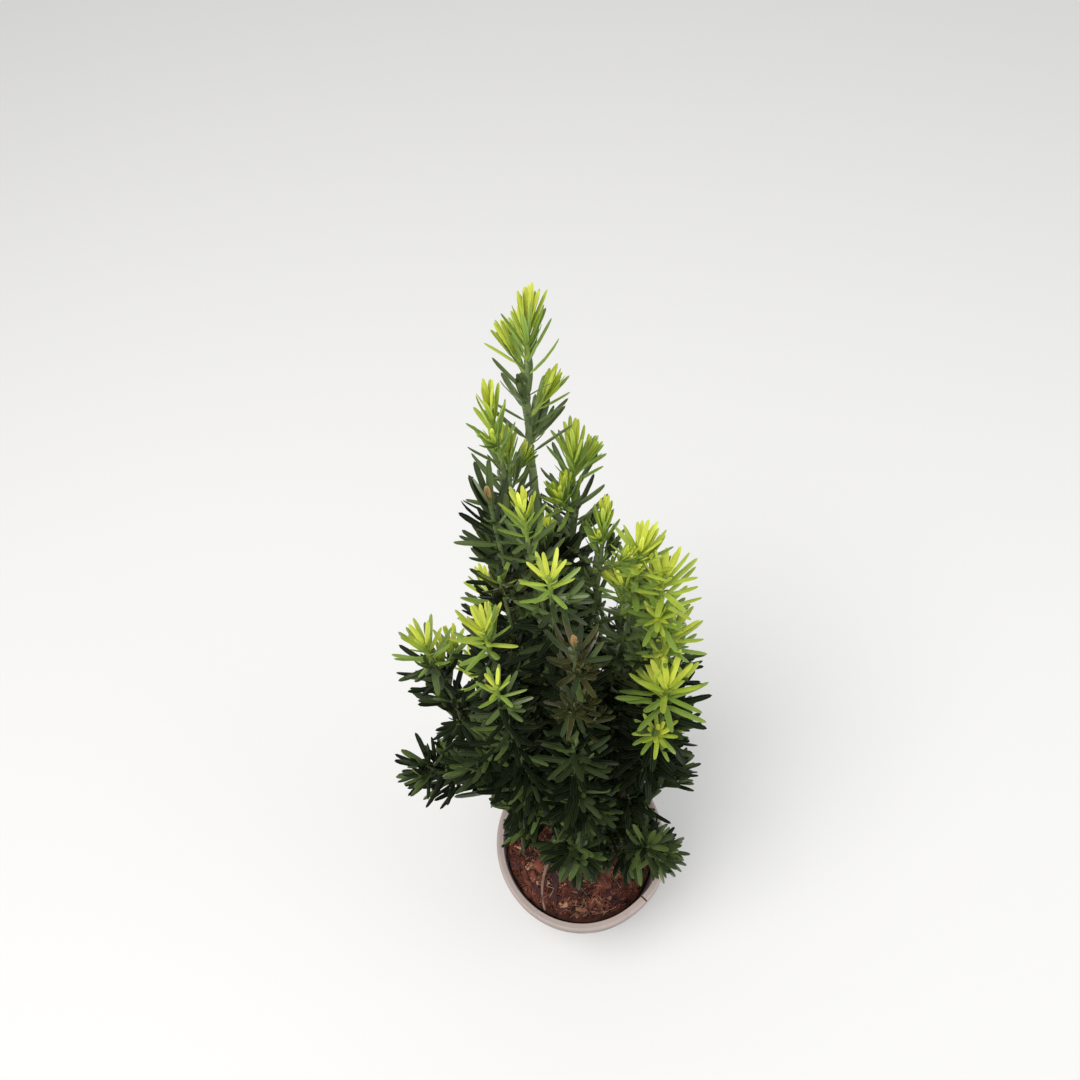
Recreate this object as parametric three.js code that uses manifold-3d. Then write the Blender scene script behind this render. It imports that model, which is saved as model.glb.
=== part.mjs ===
// A young hillii yew in its round nursery pot: a leaning trunk, boughs that leave it on every side and
// turn upwards, and a mass of needled shoots on each bough.
// The pot stands on z = 0 with its axis on the z axis, and the viewer looks along +Y.
// Lengths are in millimetres and angles in degrees.

import * as THREE from 'three';
import { mergeVertices } from 'three/addons/utils/BufferGeometryUtils.js';
import Module from 'manifold-3d';

const wasm = await Module();
wasm.setup();

// Clearance between two pieces that touch on the real plant
const GAP = 0.3;

// Pot
const POT_HEIGHT = 100;
const POT_MOUTH_RADIUS = 64.5;
const POT_INNER_RADIUS = 59;
const POT_BASE_RADIUS = 46.5;
const POT_WALL = 1.4;
const POT_FLOOR = 2.5;
const POT_FLANGE = 1.6;
const POT_SKIRT = 11;
const POT_EDGE = 0.5;
const POT_SIDES = 36;
const MOUTH_SQUEEZE = 0.014;
const DRAIN_HOLES = 6;
const DRAIN_RADIUS = 4.2;
const DRAIN_CIRCLE = 33;
const DRAIN_SIDES = 8;

// Soil
const SOIL_TOP = 90;
const SOIL_SHOULDER = 9;
const SOIL_SHRINK = 2.6;
const SOIL_RELIEF = 1.6;
const SOIL_RINGS = [46, 34, 20];

// Trunk, from its flat foot on the soil to the point where the leading shoot takes over
const TRUNK_FOOT = new THREE.Vector3(-2, 8, SOIL_TOP + GAP);
const TRUNK_KNEE = new THREE.Vector3(-2, 8, SOIL_TOP + 95);
const TRUNK_TIP = new THREE.Vector3(1, 80, SOIL_TOP + 358);
const TRUNK_FOOT_RADIUS = 5.6;
const TRUNK_TIP_RADIUS = 1.9;
const FLARE_RADIUS = 3.2;
const FLARE_HEIGHT = 0.03;
const TRUNK_SIDES = 8;
const TRUNK_RINGS = 12;
const TRUNK_RING_CROWDING = 1.5;

// Boughs and twigs
const BOUGH_SIDES = 5;
const BOUGH_RINGS = 3;
const BOUGH_ROOT_SHARE = 0.58;
const BOUGH_ROOT_MAX = 3;
const BOUGH_TIP_RADIUS = 1.6;
const TWIG_SIDES = 3;
const TWIG_ROOT_RADIUS = 1.9;
const TWIG_TIP_RADIUS = 1.3;
const SIDE_TWIG_LENGTH = 27;
const SIDE_TWIG_LEAN = 46;
const SIDE_TWIG_TRIES = 9;
const SIDE_TWIGS_FROM = 0.25;
const SIDE_TWIGS_TO = 0.8;
const GOLDEN_ANGLE = 137.5;

// Needles, set round the shoots in whorls
const NEEDLE_LENGTH_LOW = 26;
const NEEDLE_LENGTH_TOP = 20;
const NEEDLE_WIDTH = 3.4;
const NEEDLE_SHOULDER = 0.62;
const NEEDLES_IN_WHORL = 6;
const WHORL_SPACING = 17.2;
const WHORL_HALF_HEIGHT = 1.3;
const WHORLS_WITH_SHOULDERS = 1;
const BARE_STEM_FOOT = 8;
const BARE_TWIG_FOOT = 11;
// From the tip of a shoot down: how wide each whorl opens, how long its needles are, how thick its core is
const WHORL_OPENING = [30, 52, 66];
const WHORL_NEEDLE_SHARE = [0.8, 0.96, 1];
const WHORL_CORE_RADIUS = [2.8, 4.2, 5];
const WHORL_SLIM_CORE_RADIUS = 2.2;
const OPENING_SPREAD = 9;
const LENGTH_SPREAD = 0.12;

// The shoot that carries the trunk on to the top of the plant, with shorter side twigs than the others
const LEADER = { name: 'leader', tip: [8, 104, SOIL_TOP + 429], twigs: 2, twigLength: 17, seed: 43 };

// Every other shoot leaves the trunk at a height above the soil, with a heading (0 to the right, 90 away
// from the viewer) and a reach out from the plant's leaning axis to its tip, whose height is also above
// the soil.
// bare is the share of it that is woody bough, and lift how much of the climb it makes early.
const SHOOTS = [
  { name: 'left_upper', leaves: 262, heading: -160, reach: 16, top: 406, bare: 0, lift: 0.2, twigs: 1, seed: 3 },
  { name: 'right_upper', leaves: 218, heading: 37, reach: 27, top: 358, bare: 0.35, lift: 0.3, twigs: 1, seed: 3 },
  { name: 'front_upper', leaves: 206, heading: -108, reach: 22, top: 363, bare: 0, lift: 0.2, twigs: 0, seed: 14 },
  { name: 'right_middle', leaves: 186, heading: -4, reach: 33, top: 333, bare: 0.35, lift: 0.3, twigs: 2, seed: 46 },
  { name: 'left_back', leaves: 172, heading: -151, reach: 25, top: 365, bare: 0.3, lift: 0.25, twigs: 1, seed: 3 },
  { name: 'right_high', leaves: 150, heading: -12, reach: 51, top: 317, bare: 0.45, lift: 0.25, twigs: 2, seed: 25 },
  { name: 'right_outer', leaves: 112, heading: -13, reach: 63, top: 298, bare: 0.5, lift: 0.2, twigs: 2, seed: 20 },
  { name: 'right_side', leaves: 90, heading: -17, reach: 68, top: 261, bare: 0.5, lift: 0.2, twigs: 1, seed: 3 },
  { name: 'right_low', leaves: 52, heading: -34, reach: 71, top: 239, bare: 0.55, lift: 0.15, twigs: 1, seed: 14 },
  { name: 'front_star', leaves: 156, heading: -88, reach: 39, top: 339, bare: 0.3, lift: 0.2, twigs: 1, seed: 4 },
  { name: 'left_inner', leaves: 138, heading: -142, reach: 29, top: 320, bare: 0.3, lift: 0.25, twigs: 0, seed: 22 },
  { name: 'front_bronze', leaves: 118, heading: -81, reach: 59, top: 316, bare: 0.3, lift: 0.2, twigs: 2, seed: 3 },
  { name: 'left_high', leaves: 102, heading: -136, reach: 48, top: 300, bare: 0.35, lift: 0.2, twigs: 1, seed: 58 },
  { name: 'left_outer', leaves: 80, heading: -169, reach: 71, top: 268, bare: 0.4, lift: 0.2, twigs: 3, seed: 17 },
  { name: 'left_small', leaves: 68, heading: -120, reach: 64, top: 284, bare: 0.3, lift: 0.2, twigs: 1, seed: 3 },
  { name: 'left_low', leaves: 40, heading: -174, reach: 94, top: 146, bare: 0.4, lift: 0.6, twigs: 1, seed: 1 },
  { name: 'front_left_low', leaves: 22, heading: -147, reach: 40, top: 96, bare: 0, lift: 0.4, twigs: 1, seed: 21 },
  { name: 'front_low', leaves: 15, heading: -93, reach: 60, top: 109, bare: 0, lift: 0.5, twigs: 1, seed: 9 },
  { name: 'front_right_low', leaves: 16, heading: -47, reach: 69, top: 76, bare: 0.3, lift: 0.5, twigs: 1, seed: 28 },
  { name: 'right_lowest', leaves: 28, heading: -9, reach: 64, top: 82, bare: 0.35, lift: 0.4, twigs: 2, seed: 13 },
  { name: 'front_middle', leaves: 56, heading: -87, reach: 59, top: 228, bare: 0.25, lift: 0.2, twigs: 2, seed: 32 },
  { name: 'front_right_middle', leaves: 32, heading: -54, reach: 37, top: 105, bare: 0, lift: 0.3, twigs: 2, seed: 29 },
  { name: 'right_back', leaves: 64, heading: 11, reach: 67, top: 128, bare: 0.45, lift: 0.3, twigs: 2, seed: 6 },
  { name: 'front_left_middle', leaves: 50, heading: -138, reach: 62, top: 220, bare: 0.35, lift: 0.2, twigs: 2, seed: 3 },
  { name: 'back_left', leaves: 96, heading: 124, reach: 64, top: 226, bare: 0.45, lift: 0.25, twigs: 2, seed: 36 },
  { name: 'back_right', leaves: 86, heading: 47, reach: 77, top: 210, bare: 0.45, lift: 0.25, twigs: 2, seed: 37 },
  { name: 'back_high', leaves: 128, heading: 86, reach: 56, top: 266, bare: 0.35, lift: 0.3, twigs: 2, seed: 50 },
  { name: 'back_low_left', leaves: 40, heading: 137, reach: 77, top: 106, bare: 0.4, lift: 0.3, twigs: 2, seed: 39 },
  { name: 'back_low_right', leaves: 30, heading: 37, reach: 80, top: 90, bare: 0.4, lift: 0.3, twigs: 2, seed: 40 },
  { name: 'back_low', leaves: 44, heading: 92, reach: 68, top: 88, bare: 0.35, lift: 0.4, twigs: 2, seed: 41 },
];

// Colours of the finishes
const POT_COLOUR = 0xb3a39b;
const SOIL_COLOUR = 0x5a3a2c;
const BARK_COLOUR = 0x5c4632;
const FOLIAGE_COLOUR = 0x3f5a2c;

const radians = THREE.MathUtils.degToRad;
const lerp = THREE.MathUtils.lerp;
const UP = new THREE.Vector3(0, 0, 1);

// A stream of numbers from 0 to 1 that is the same on every run
function randomStream(seed) {
  let state = (seed * 2654435761) >>> 0;
  return () => {
    state = (Math.imul(state, 1664525) + 1013904223) >>> 0;
    return state / 4294967296;
  };
}

// A closed solid from a geometry, turned right side out where its faces point inwards
function solid(geometry) {
  const bare = geometry.clone();
  bare.deleteAttribute('normal');
  bare.deleteAttribute('uv');
  const merged = mergeVertices(bare, 1e-4);
  const vertProperties = new Float32Array(merged.attributes.position.array);
  const corners = merged.index.array;
  const triangles = [];
  const a = new THREE.Vector3();
  const b = new THREE.Vector3();
  const c = new THREE.Vector3();
  let volume = 0;
  for (let i = 0; i < corners.length; i += 3) {
    const [p, q, r] = [corners[i], corners[i + 1], corners[i + 2]];
    if (p !== q && q !== r && r !== p) {
      triangles.push(p, q, r);
      a.fromArray(vertProperties, 3 * p);
      b.fromArray(vertProperties, 3 * q);
      c.fromArray(vertProperties, 3 * r);
      volume += a.dot(b.cross(c));
    }
  }
  if (volume < 0) {
    triangles.reverse();
  }
  const triVerts = new Uint32Array(triangles);
  return new wasm.Manifold(new wasm.Mesh({ numProp: 3, vertProperties, triVerts }));
}

function geometryOf(manifold) {
  const mesh = manifold.getMesh();
  const geometry = new THREE.BufferGeometry();
  geometry.setAttribute('position', new THREE.BufferAttribute(mesh.vertProperties, 3));
  geometry.setIndex(new THREE.BufferAttribute(mesh.triVerts, 1));
  return geometry;
}

function namedMesh(name, manifold, colour, roughness) {
  const material = new THREE.MeshStandardMaterial({ color: colour, roughness, metalness: 0 });
  const mesh = new THREE.Mesh(geometryOf(manifold), material);
  mesh.name = name;
  return mesh;
}

// Radius of the pot's inner wall at a height
function potInnerRadius(height) {
  const baseInner = POT_BASE_RADIUS - POT_WALL;
  return lerp(baseInner, POT_INNER_RADIUS, (height - POT_FLOOR) / (POT_HEIGHT - POT_FLOOR));
}

// A turned shape about the z axis, from its profile of radius and height
function turned(profile, sides) {
  const points = profile.map(([radius, height]) => new THREE.Vector2(radius, height));
  return new THREE.LatheGeometry(points, sides).rotateX(Math.PI / 2);
}

// The soft pot is pressed a little oval, most of all at its mouth
function squeezed(geometry) {
  const position = geometry.attributes.position;
  for (let i = 0; i < position.count; i += 1) {
    const press = MOUTH_SQUEEZE * position.getZ(i) / POT_HEIGHT;
    position.setX(i, position.getX(i) * (1 - press));
    position.setY(i, position.getY(i) * (1 + press));
  }
  return geometry;
}

function makePot() {
  const flangeUnder = POT_HEIGHT - POT_FLANGE;
  const skirtFoot = POT_HEIGHT - POT_SKIRT;
  const skirtInner = POT_MOUTH_RADIUS - POT_WALL;
  const profile = [
    [0, 0],
    [POT_BASE_RADIUS - 1.5, 0],
    [POT_BASE_RADIUS, 1.5],
    [potInnerRadius(flangeUnder) + POT_WALL, flangeUnder],
    [skirtInner, flangeUnder],
    [skirtInner - POT_EDGE, skirtFoot],
    [POT_MOUTH_RADIUS - POT_EDGE, skirtFoot],
    [POT_MOUTH_RADIUS, POT_HEIGHT - 1],
    [POT_MOUTH_RADIUS - 1, POT_HEIGHT],
    [POT_INNER_RADIUS + POT_EDGE, POT_HEIGHT],
    [POT_INNER_RADIUS, POT_HEIGHT - POT_EDGE],
    [potInnerRadius(POT_FLOOR), POT_FLOOR],
    [0, POT_FLOOR],
  ];
  let pot = solid(squeezed(turned(profile, POT_SIDES)));
  for (let i = 0; i < DRAIN_HOLES; i += 1) {
    const angle = (i + 0.5) * 2 * Math.PI / DRAIN_HOLES;
    const plug = new THREE.CylinderGeometry(DRAIN_RADIUS, DRAIN_RADIUS, 4 * POT_FLOOR, DRAIN_SIDES);
    plug.rotateX(Math.PI / 2);
    plug.translate(DRAIN_CIRCLE * Math.cos(angle), DRAIN_CIRCLE * Math.sin(angle), 0);
    pot = pot.subtract(solid(plug));
  }
  return namedMesh('pot', pot, POT_COLOUR, 0.55);
}

// How far the soil lies below its level at a place: humps and hollows that fade out under the trunk's foot
function soilDrop(x, y) {
  const away = Math.hypot(x - TRUNK_FOOT.x, y - TRUNK_FOOT.y);
  const fade = THREE.MathUtils.smoothstep(away, 14, 24);
  const waves = Math.sin(0.21 * x + 1.3) * Math.cos(0.17 * y) + 0.6 * Math.sin(0.33 * y - 0.19 * x);
  return SOIL_RELIEF * fade * (0.5 + 0.3 * waves);
}

function makeSoil() {
  const foot = POT_FLOOR + GAP;
  const shoulder = SOIL_TOP - SOIL_SHOULDER;
  const edge = potInnerRadius(SOIL_TOP) - SOIL_SHRINK;
  const profile = [
    [0, foot],
    [potInnerRadius(foot) - 1.5 * GAP, foot],
    [potInnerRadius(shoulder) - 1.5 * GAP, shoulder],
    [edge, SOIL_TOP - 2.5],
    ...SOIL_RINGS.map((radius) => [radius, SOIL_TOP]),
    [0, SOIL_TOP],
  ];
  const geometry = squeezed(turned(profile, POT_SIDES));
  const position = geometry.attributes.position;
  for (let i = 0; i < position.count; i += 1) {
    if (position.getZ(i) > SOIL_TOP - 0.1) {
      position.setZ(i, SOIL_TOP - soilDrop(position.getX(i), position.getY(i)));
    }
  }
  return namedMesh('soil', solid(geometry), SOIL_COLOUR, 1);
}

// A limb's line bends in one plane: side is the direction square to that plane
function limbLine(start, bend, end) {
  const curve = new THREE.QuadraticBezierCurve3(start, bend, end);
  const chord = end.clone().sub(start);
  const side = chord.clone().cross(bend.clone().sub(start));
  if (side.length() < 1e-3 * chord.lengthSq()) {
    side.copy(chord).cross(new THREE.Vector3(1, 0.3, 0));
  }
  return { curve, side: side.normalize() };
}

function frameAt(line, t) {
  const along = line.curve.getTangent(t);
  const across = along.clone().cross(line.side).normalize();
  return { point: line.curve.getPoint(t), along, side: line.side, across };
}

function pointRound(frame, angle, radius) {
  return frame.point.clone()
    .addScaledVector(frame.side, radius * Math.cos(angle))
    .addScaledVector(frame.across, radius * Math.sin(angle));
}

// A closed tapering tube along a limb's line, from one share of the line to another
function limbSolid(line, from, to, radiusAt, sides, rings, crowding = 1) {
  const geometry = new THREE.CylinderGeometry(1, 1, 1, sides, rings);
  const position = geometry.attributes.position;
  for (let i = 0; i < position.count; i += 1) {
    const share = Math.pow(THREE.MathUtils.clamp(position.getY(i) + 0.5, 0, 1), crowding);
    const t = lerp(from, to, share);
    const reach = radiusAt(share) * Math.hypot(position.getX(i), position.getZ(i));
    const place = pointRound(frameAt(line, t), Math.atan2(position.getX(i), position.getZ(i)), reach);
    position.setXYZ(i, place.x, place.y, place.z);
  }
  return solid(geometry);
}

function trunkRadius(share) {
  const taper = lerp(TRUNK_FOOT_RADIUS, TRUNK_TIP_RADIUS, Math.pow(share, 0.85));
  return taper + FLARE_RADIUS * Math.exp(-share / FLARE_HEIGHT);
}

// Space that is taken already: rounded rods, each with the name of the piece that it belongs to
const taken = [];

function takeRod(owner, start, end, radius) {
  taken.push({ owner, start: start.clone(), end: end.clone(), radius });
}

function takeLine(owner, line, from, to, radiusAt, steps) {
  for (let i = 0; i < steps; i += 1) {
    const start = line.curve.getPoint(lerp(from, to, i / steps));
    const end = line.curve.getPoint(lerp(from, to, (i + 1) / steps));
    takeRod(owner, start, end, radiusAt(i / steps));
  }
}

// Shortest distance between two straight stretches
function stretchDistance(p1, q1, p2, q2) {
  const d1 = q1.clone().sub(p1);
  const d2 = q2.clone().sub(p2);
  const r = p1.clone().sub(p2);
  const a = d1.dot(d1);
  const e = d2.dot(d2);
  const f = d2.dot(r);
  const c = d1.dot(r);
  const b = d1.dot(d2);
  const denominator = a * e - b * b;
  let s = denominator > 1e-9 ? THREE.MathUtils.clamp((b * f - c * e) / denominator, 0, 1) : 0;
  let t = (b * s + f) / e;
  if (t < 0) {
    t = 0;
    s = THREE.MathUtils.clamp(-c / a, 0, 1);
  } else if (t > 1) {
    t = 1;
    s = THREE.MathUtils.clamp((b - c) / a, 0, 1);
  }
  return p1.clone().addScaledVector(d1, s).distanceTo(p2.clone().addScaledVector(d2, t));
}

function rodIsFree(owner, start, end, radius) {
  return taken.every((rod) => rod.owner === owner
    || stretchDistance(start, end, rod.start, rod.end) > radius + rod.radius + GAP);
}

// Foliage keeps off the soil and the pot's rim, but may hang over both
function clearOfPot(place, radius) {
  const out = Math.hypot(place.x, place.y);
  if (out > POT_MOUTH_RADIUS * (1 + MOUTH_SQUEEZE) + radius + GAP) {
    return true;
  }
  const floor = out < POT_INNER_RADIUS * (1 - MOUTH_SQUEEZE) - radius - GAP ? SOIL_TOP : POT_HEIGHT;
  return place.z > floor + radius + GAP;
}

function rodIsClearOfPot(start, end, radius) {
  const steps = 6;
  for (let i = 0; i <= steps; i += 1) {
    if (!clearOfPot(start.clone().lerp(end, i / steps), radius)) {
      return false;
    }
  }
  return true;
}

const trunkLine = limbLine(TRUNK_FOOT, TRUNK_KNEE, TRUNK_TIP);

// The whole plant leans as its trunk does: the way it goes for each millimetre that it climbs
const LEAN = TRUNK_TIP.clone().sub(TRUNK_FOOT).divideScalar(TRUNK_TIP.z - TRUNK_FOOT.z);

// The share of the trunk's line that lies at a height above the soil
function trunkShareAt(height) {
  let low = 0;
  let high = 1;
  for (let i = 0; i < 40; i += 1) {
    const middle = (low + high) / 2;
    if (trunkLine.curve.getPoint(middle).z - SOIL_TOP < height) {
      low = middle;
    } else {
      high = middle;
    }
  }
  return low;
}

function makeTrunk() {
  const tube = limbSolid(trunkLine, 0, 1, trunkRadius, TRUNK_SIDES, TRUNK_RINGS, TRUNK_RING_CROWDING);
  takeLine('trunk', trunkLine, 0, 1, trunkRadius, 90);
  return namedMesh('trunk', tube, BARK_COLOUR, 0.9);
}

// The line of a shoot, from the middle of the trunk out and up to its tip
function shootLine(shoot) {
  const start = trunkLine.curve.getPoint(trunkShareAt(shoot.leaves));
  const out = new THREE.Vector3(Math.cos(radians(shoot.heading)), Math.sin(radians(shoot.heading)), 0);
  const climb = SOIL_TOP + shoot.top - start.z;
  const end = start.clone().addScaledVector(out, shoot.reach).addScaledVector(LEAN, climb);
  const bend = start.clone().addScaledVector(out, 0.75 * shoot.reach).addScaledVector(LEAN, climb * shoot.lift);
  return limbLine(start, bend, end);
}

// The first share of a line at which a ring of the given radius is clear of the trunk, by the ring's corners
// and the middles of its sides
function shareClearOfTrunk(line, radius, sides) {
  const trunkRods = taken.filter((rod) => rod.owner === 'trunk');
  for (let t = 0; t < 0.5; t += 0.001) {
    const frame = frameAt(line, t);
    let free = true;
    for (let i = 0; i < 2 * sides; i += 1) {
      const reach = i % 2 === 0 ? radius : radius * Math.cos(Math.PI / sides);
      const place = pointRound(frame, i * Math.PI / sides, reach);
      const near = place.clone().addScaledVector(UP, 0.01);
      free = free && trunkRods.every((rod) => (
        stretchDistance(place, near, rod.start, rod.end) > rod.radius + GAP
      ));
    }
    if (free) {
      return t;
    }
  }
  throw new Error('a shoot never leaves the trunk');
}

function shareAfter(line, t, distance) {
  const speed = line.curve.getPoint(t + 0.01).distanceTo(line.curve.getPoint(t)) / 0.01;
  return t + distance / speed;
}

// A mass of foliage: one stem, the side twigs that branch from it by rule, and where its whorls sit
function planMass(shoot, line, from) {
  const owner = `foliage_${shoot.name}`;
  const random = randomStream(shoot.seed);
  const stem = { line, from, root: TWIG_ROOT_RADIUS, foot: BARE_STEM_FOOT, whorls: [] };
  takeLine(owner, line, from, 1, () => TWIG_ROOT_RADIUS, 6);
  return { owner, random, stems: [stem] };
}

// A side twig leans off its stem at a spin about it and turns up towards its own tip
function sideTwigLine(frame, spin, length) {
  const lean = radians(SIDE_TWIG_LEAN);
  const out = pointRound(frame, spin, 1).sub(frame.point);
  const heading = frame.along.clone().multiplyScalar(Math.cos(lean)).addScaledVector(out, Math.sin(lean));
  const bend = frame.point.clone().addScaledVector(heading, 0.55 * length);
  const rise = frame.along.clone().addScaledVector(UP, 0.6).normalize();
  const end = bend.clone().addScaledVector(heading, 0.25 * length).addScaledVector(rise, 0.25 * length);
  return limbLine(frame.point.clone(), bend, end);
}

function addSideTwigs(mass, shoot) {
  const { line, from } = mass.stems[0];
  const firstSpin = mass.random() * 360;
  for (let i = 0; i < shoot.twigs; i += 1) {
    const share = (i + 0.5 * mass.random() + 0.25) / shoot.twigs;
    const t = lerp(from, 1, lerp(SIDE_TWIGS_FROM, SIDE_TWIGS_TO, share));
    const length = (shoot.twigLength ?? SIDE_TWIG_LENGTH) * lerp(0.75, 1.15, mass.random());
    const frame = frameAt(line, t);
    for (let attempt = 0; attempt < SIDE_TWIG_TRIES; attempt += 1) {
      const twig = sideTwigLine(frame, radians(firstSpin + i * GOLDEN_ANGLE + attempt * 40), length);
      const [foot, middle, tip] = [0.2, 0.55, 1].map((share) => twig.curve.getPoint(share));
      const free = rodIsFree(mass.owner, foot, middle, 4) && rodIsFree(mass.owner, middle, tip, 4);
      if (free && rodIsClearOfPot(middle, tip, 5)) {
        mass.stems.push({ line: twig, from: 0, root: TWIG_TIP_RADIUS, foot: BARE_TWIG_FOOT, whorls: [] });
        takeLine(mass.owner, twig, 0, 1, () => TWIG_TIP_RADIUS, 3);
        break;
      }
    }
  }
}

// Whorls sit along a stem from its tip down, and leave the first stretch of it bare
function placeWhorls(mass) {
  for (const stem of mass.stems) {
    const length = stem.line.curve.getLength() * (1 - stem.from);
    let down = 0.5;
    for (let j = 0; down < length - stem.foot; j += 1) {
      const kind = Math.min(j, WHORL_OPENING.length - 1);
      const t = 1 - (1 - stem.from) * down / length;
      stem.whorls.push({ t, kind, spin: mass.random() * 360, shoulders: j < WHORLS_WITH_SHOULDERS });
      down += WHORL_SPACING * lerp(0.88, 1.12, mass.random()) * (j === 0 ? 0.6 : 1);
    }
  }
}

// The needles of one whorl, each as its direction and length, with no length where there is no room.
// The core of the whorl is slim where a neighbour is close.
function growWhorl(mass, stem, whorl) {
  const frame = frameAt(stem.line, whorl.t);
  const below = frame.point.clone().addScaledVector(frame.along, -WHORL_HALF_HEIGHT);
  const above = frame.point.clone().addScaledVector(frame.along, WHORL_HALF_HEIGHT);
  const wide = WHORL_CORE_RADIUS[whorl.kind];
  const core = rodIsFree(mass.owner, below, above, wide) ? wide : WHORL_SLIM_CORE_RADIUS;
  takeRod(mass.owner, below, above, core);
  whorl.core = core;
  whorl.needles = [];
  for (let i = 0; i < NEEDLES_IN_WHORL; i += 1) {
    const angle = radians(whorl.spin + i * 360 / NEEDLES_IN_WHORL);
    const spread = OPENING_SPREAD * (2 * mass.random() - 1);
    const opening = radians(WHORL_OPENING[whorl.kind] + spread);
    const vary = 1 + LENGTH_SPREAD * (2 * mass.random() - 1);
    const full = lerp(NEEDLE_LENGTH_LOW, NEEDLE_LENGTH_TOP, (frame.point.z - SOIL_TOP) / LEADER.tip[2]);
    const length = full * WHORL_NEEDLE_SHARE[whorl.kind] * vary;
    const out = pointRound(frame, angle, 1).sub(frame.point);
    const heading = frame.along.clone().multiplyScalar(Math.cos(opening));
    heading.addScaledVector(out, Math.sin(opening));
    const root = frame.point.clone().addScaledVector(heading, core);
    const tip = frame.point.clone().addScaledVector(heading, length);
    const halfWidth = NEEDLE_WIDTH / 2;
    const free = rodIsFree(mass.owner, root, tip, halfWidth) && rodIsClearOfPot(root, tip, halfWidth);
    if (free) {
      takeRod(mass.owner, root, tip, halfWidth);
    }
    whorl.needles.push({ angle, heading, length: free ? length : 0 });
  }
}

// The outline of a whorl: in to the core between the needles, and out to each needle's shoulders and tip
function whorlOutline(frame, whorl) {
  const halfStep = Math.PI / NEEDLES_IN_WHORL;
  const outline = [];
  for (const { angle, heading, length } of whorl.needles) {
    const notch = pointRound(frame, angle - halfStep, whorl.core);
    outline.push({ place: notch, angle: angle - halfStep });
    if (length > 0) {
      const across = pointRound(frame, angle + Math.PI / 2, NEEDLE_WIDTH / 2).sub(frame.point);
      const shoulder = frame.point.clone().addScaledVector(heading, NEEDLE_SHOULDER * length);
      const tip = frame.point.clone().addScaledVector(heading, length);
      const near = { place: shoulder.clone().sub(across), angle: angle - 0.1 };
      const far = { place: shoulder.clone().add(across), angle: angle + 0.1 };
      const point = { place: tip, angle };
      outline.push(...(whorl.shoulders ? [near, point, far] : [point]));
    }
  }
  return outline;
}

// Faces between a ring round the stem and the outline of a whorl, each edge of the outline going to the
// corner of the stem's ring that is nearest to it in angle
function whorlFaces(ring, outlineStart, outline) {
  const step = 2 * Math.PI / TWIG_SIDES;
  const nearest = outline.map(({ angle }, i) => {
    const next = outline[(i + 1) % outline.length].angle + (i + 1 === outline.length ? 2 * Math.PI : 0);
    const corner = Math.round((angle + next) / 2 / step);
    return ring.length === 1 ? 0 : ((corner % TWIG_SIDES) + TWIG_SIDES) % TWIG_SIDES;
  });
  const faces = [];
  outline.forEach((_, i) => {
    const here = outlineStart + i;
    const next = outlineStart + (i + 1) % outline.length;
    const before = nearest[(i + outline.length - 1) % outline.length];
    faces.push([ring[nearest[i]], here, next]);
    if (before !== nearest[i]) {
      faces.push([ring[before], here, ring[nearest[i]]]);
    }
  });
  return faces;
}

// One needled shoot as one closed solid: a three-sided stem that swells out into each whorl's star
function shootSolid(stem) {
  const places = [];
  const faces = [];
  const addRing = (frame, rise, radius) => {
    const first = places.length;
    const level = { ...frame, point: frame.point.clone().addScaledVector(frame.along, rise) };
    for (let i = 0; i < TWIG_SIDES; i += 1) {
      places.push(pointRound(level, i * 2 * Math.PI / TWIG_SIDES, radius));
    }
    return Array.from({ length: TWIG_SIDES }, (_, i) => first + i);
  };
  const joinRings = (lower, upper) => {
    lower.forEach((corner, i) => {
      const j = (i + 1) % TWIG_SIDES;
      faces.push([corner, lower[j], upper[j]], [corner, upper[j], upper[i]]);
    });
  };
  let ring = addRing(frameAt(stem.line, stem.from), 0, stem.root);
  faces.push([...ring].reverse());
  for (const whorl of [...stem.whorls].reverse()) {
    const frame = frameAt(stem.line, whorl.t);
    const radius = lerp(stem.root, TWIG_TIP_RADIUS, (whorl.t - stem.from) / (1 - stem.from));
    const below = addRing(frame, -WHORL_HALF_HEIGHT, radius);
    joinRings(ring, below);
    const outline = whorlOutline(frame, whorl);
    const outlineStart = places.length;
    places.push(...outline.map(({ place }) => place));
    const isLast = whorl === stem.whorls[0];
    if (isLast) {
      ring = [places.length];
      places.push(frame.point.clone().addScaledVector(frame.along, 2 * WHORL_HALF_HEIGHT));
    } else {
      ring = addRing(frame, WHORL_HALF_HEIGHT, radius);
    }
    faces.push(...whorlFaces(below, outlineStart, outline).map((face) => face.reverse()));
    faces.push(...whorlFaces(ring, outlineStart, outline));
  }
  const geometry = new THREE.BufferGeometry();
  const flat = places.flatMap((place) => place.toArray());
  geometry.setAttribute('position', new THREE.Float32BufferAttribute(flat, 3));
  geometry.setIndex(faces.flat());
  return solid(geometry);
}

function massMesh(mass) {
  const joined = mass.stems.map(shootSolid).reduce((all, part) => all.add(part));
  return namedMesh(mass.owner, joined, FOLIAGE_COLOUR, 0.6);
}

const plant = new THREE.Group();
plant.add(makePot());
plant.add(makeSoil());
plant.add(makeTrunk());

const masses = [];

// The leading shoot goes straight on from the trunk's tip
const leaderTip = new THREE.Vector3(...LEADER.tip);
const leaderBend = TRUNK_TIP.clone().addScaledVector(trunkLine.curve.getTangent(1), 36);
const leaderLine = limbLine(TRUNK_TIP, leaderBend, leaderTip);
masses.push({ shoot: LEADER, mass: planMass(LEADER, leaderLine, shareAfter(leaderLine, 0, GAP)) });

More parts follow.
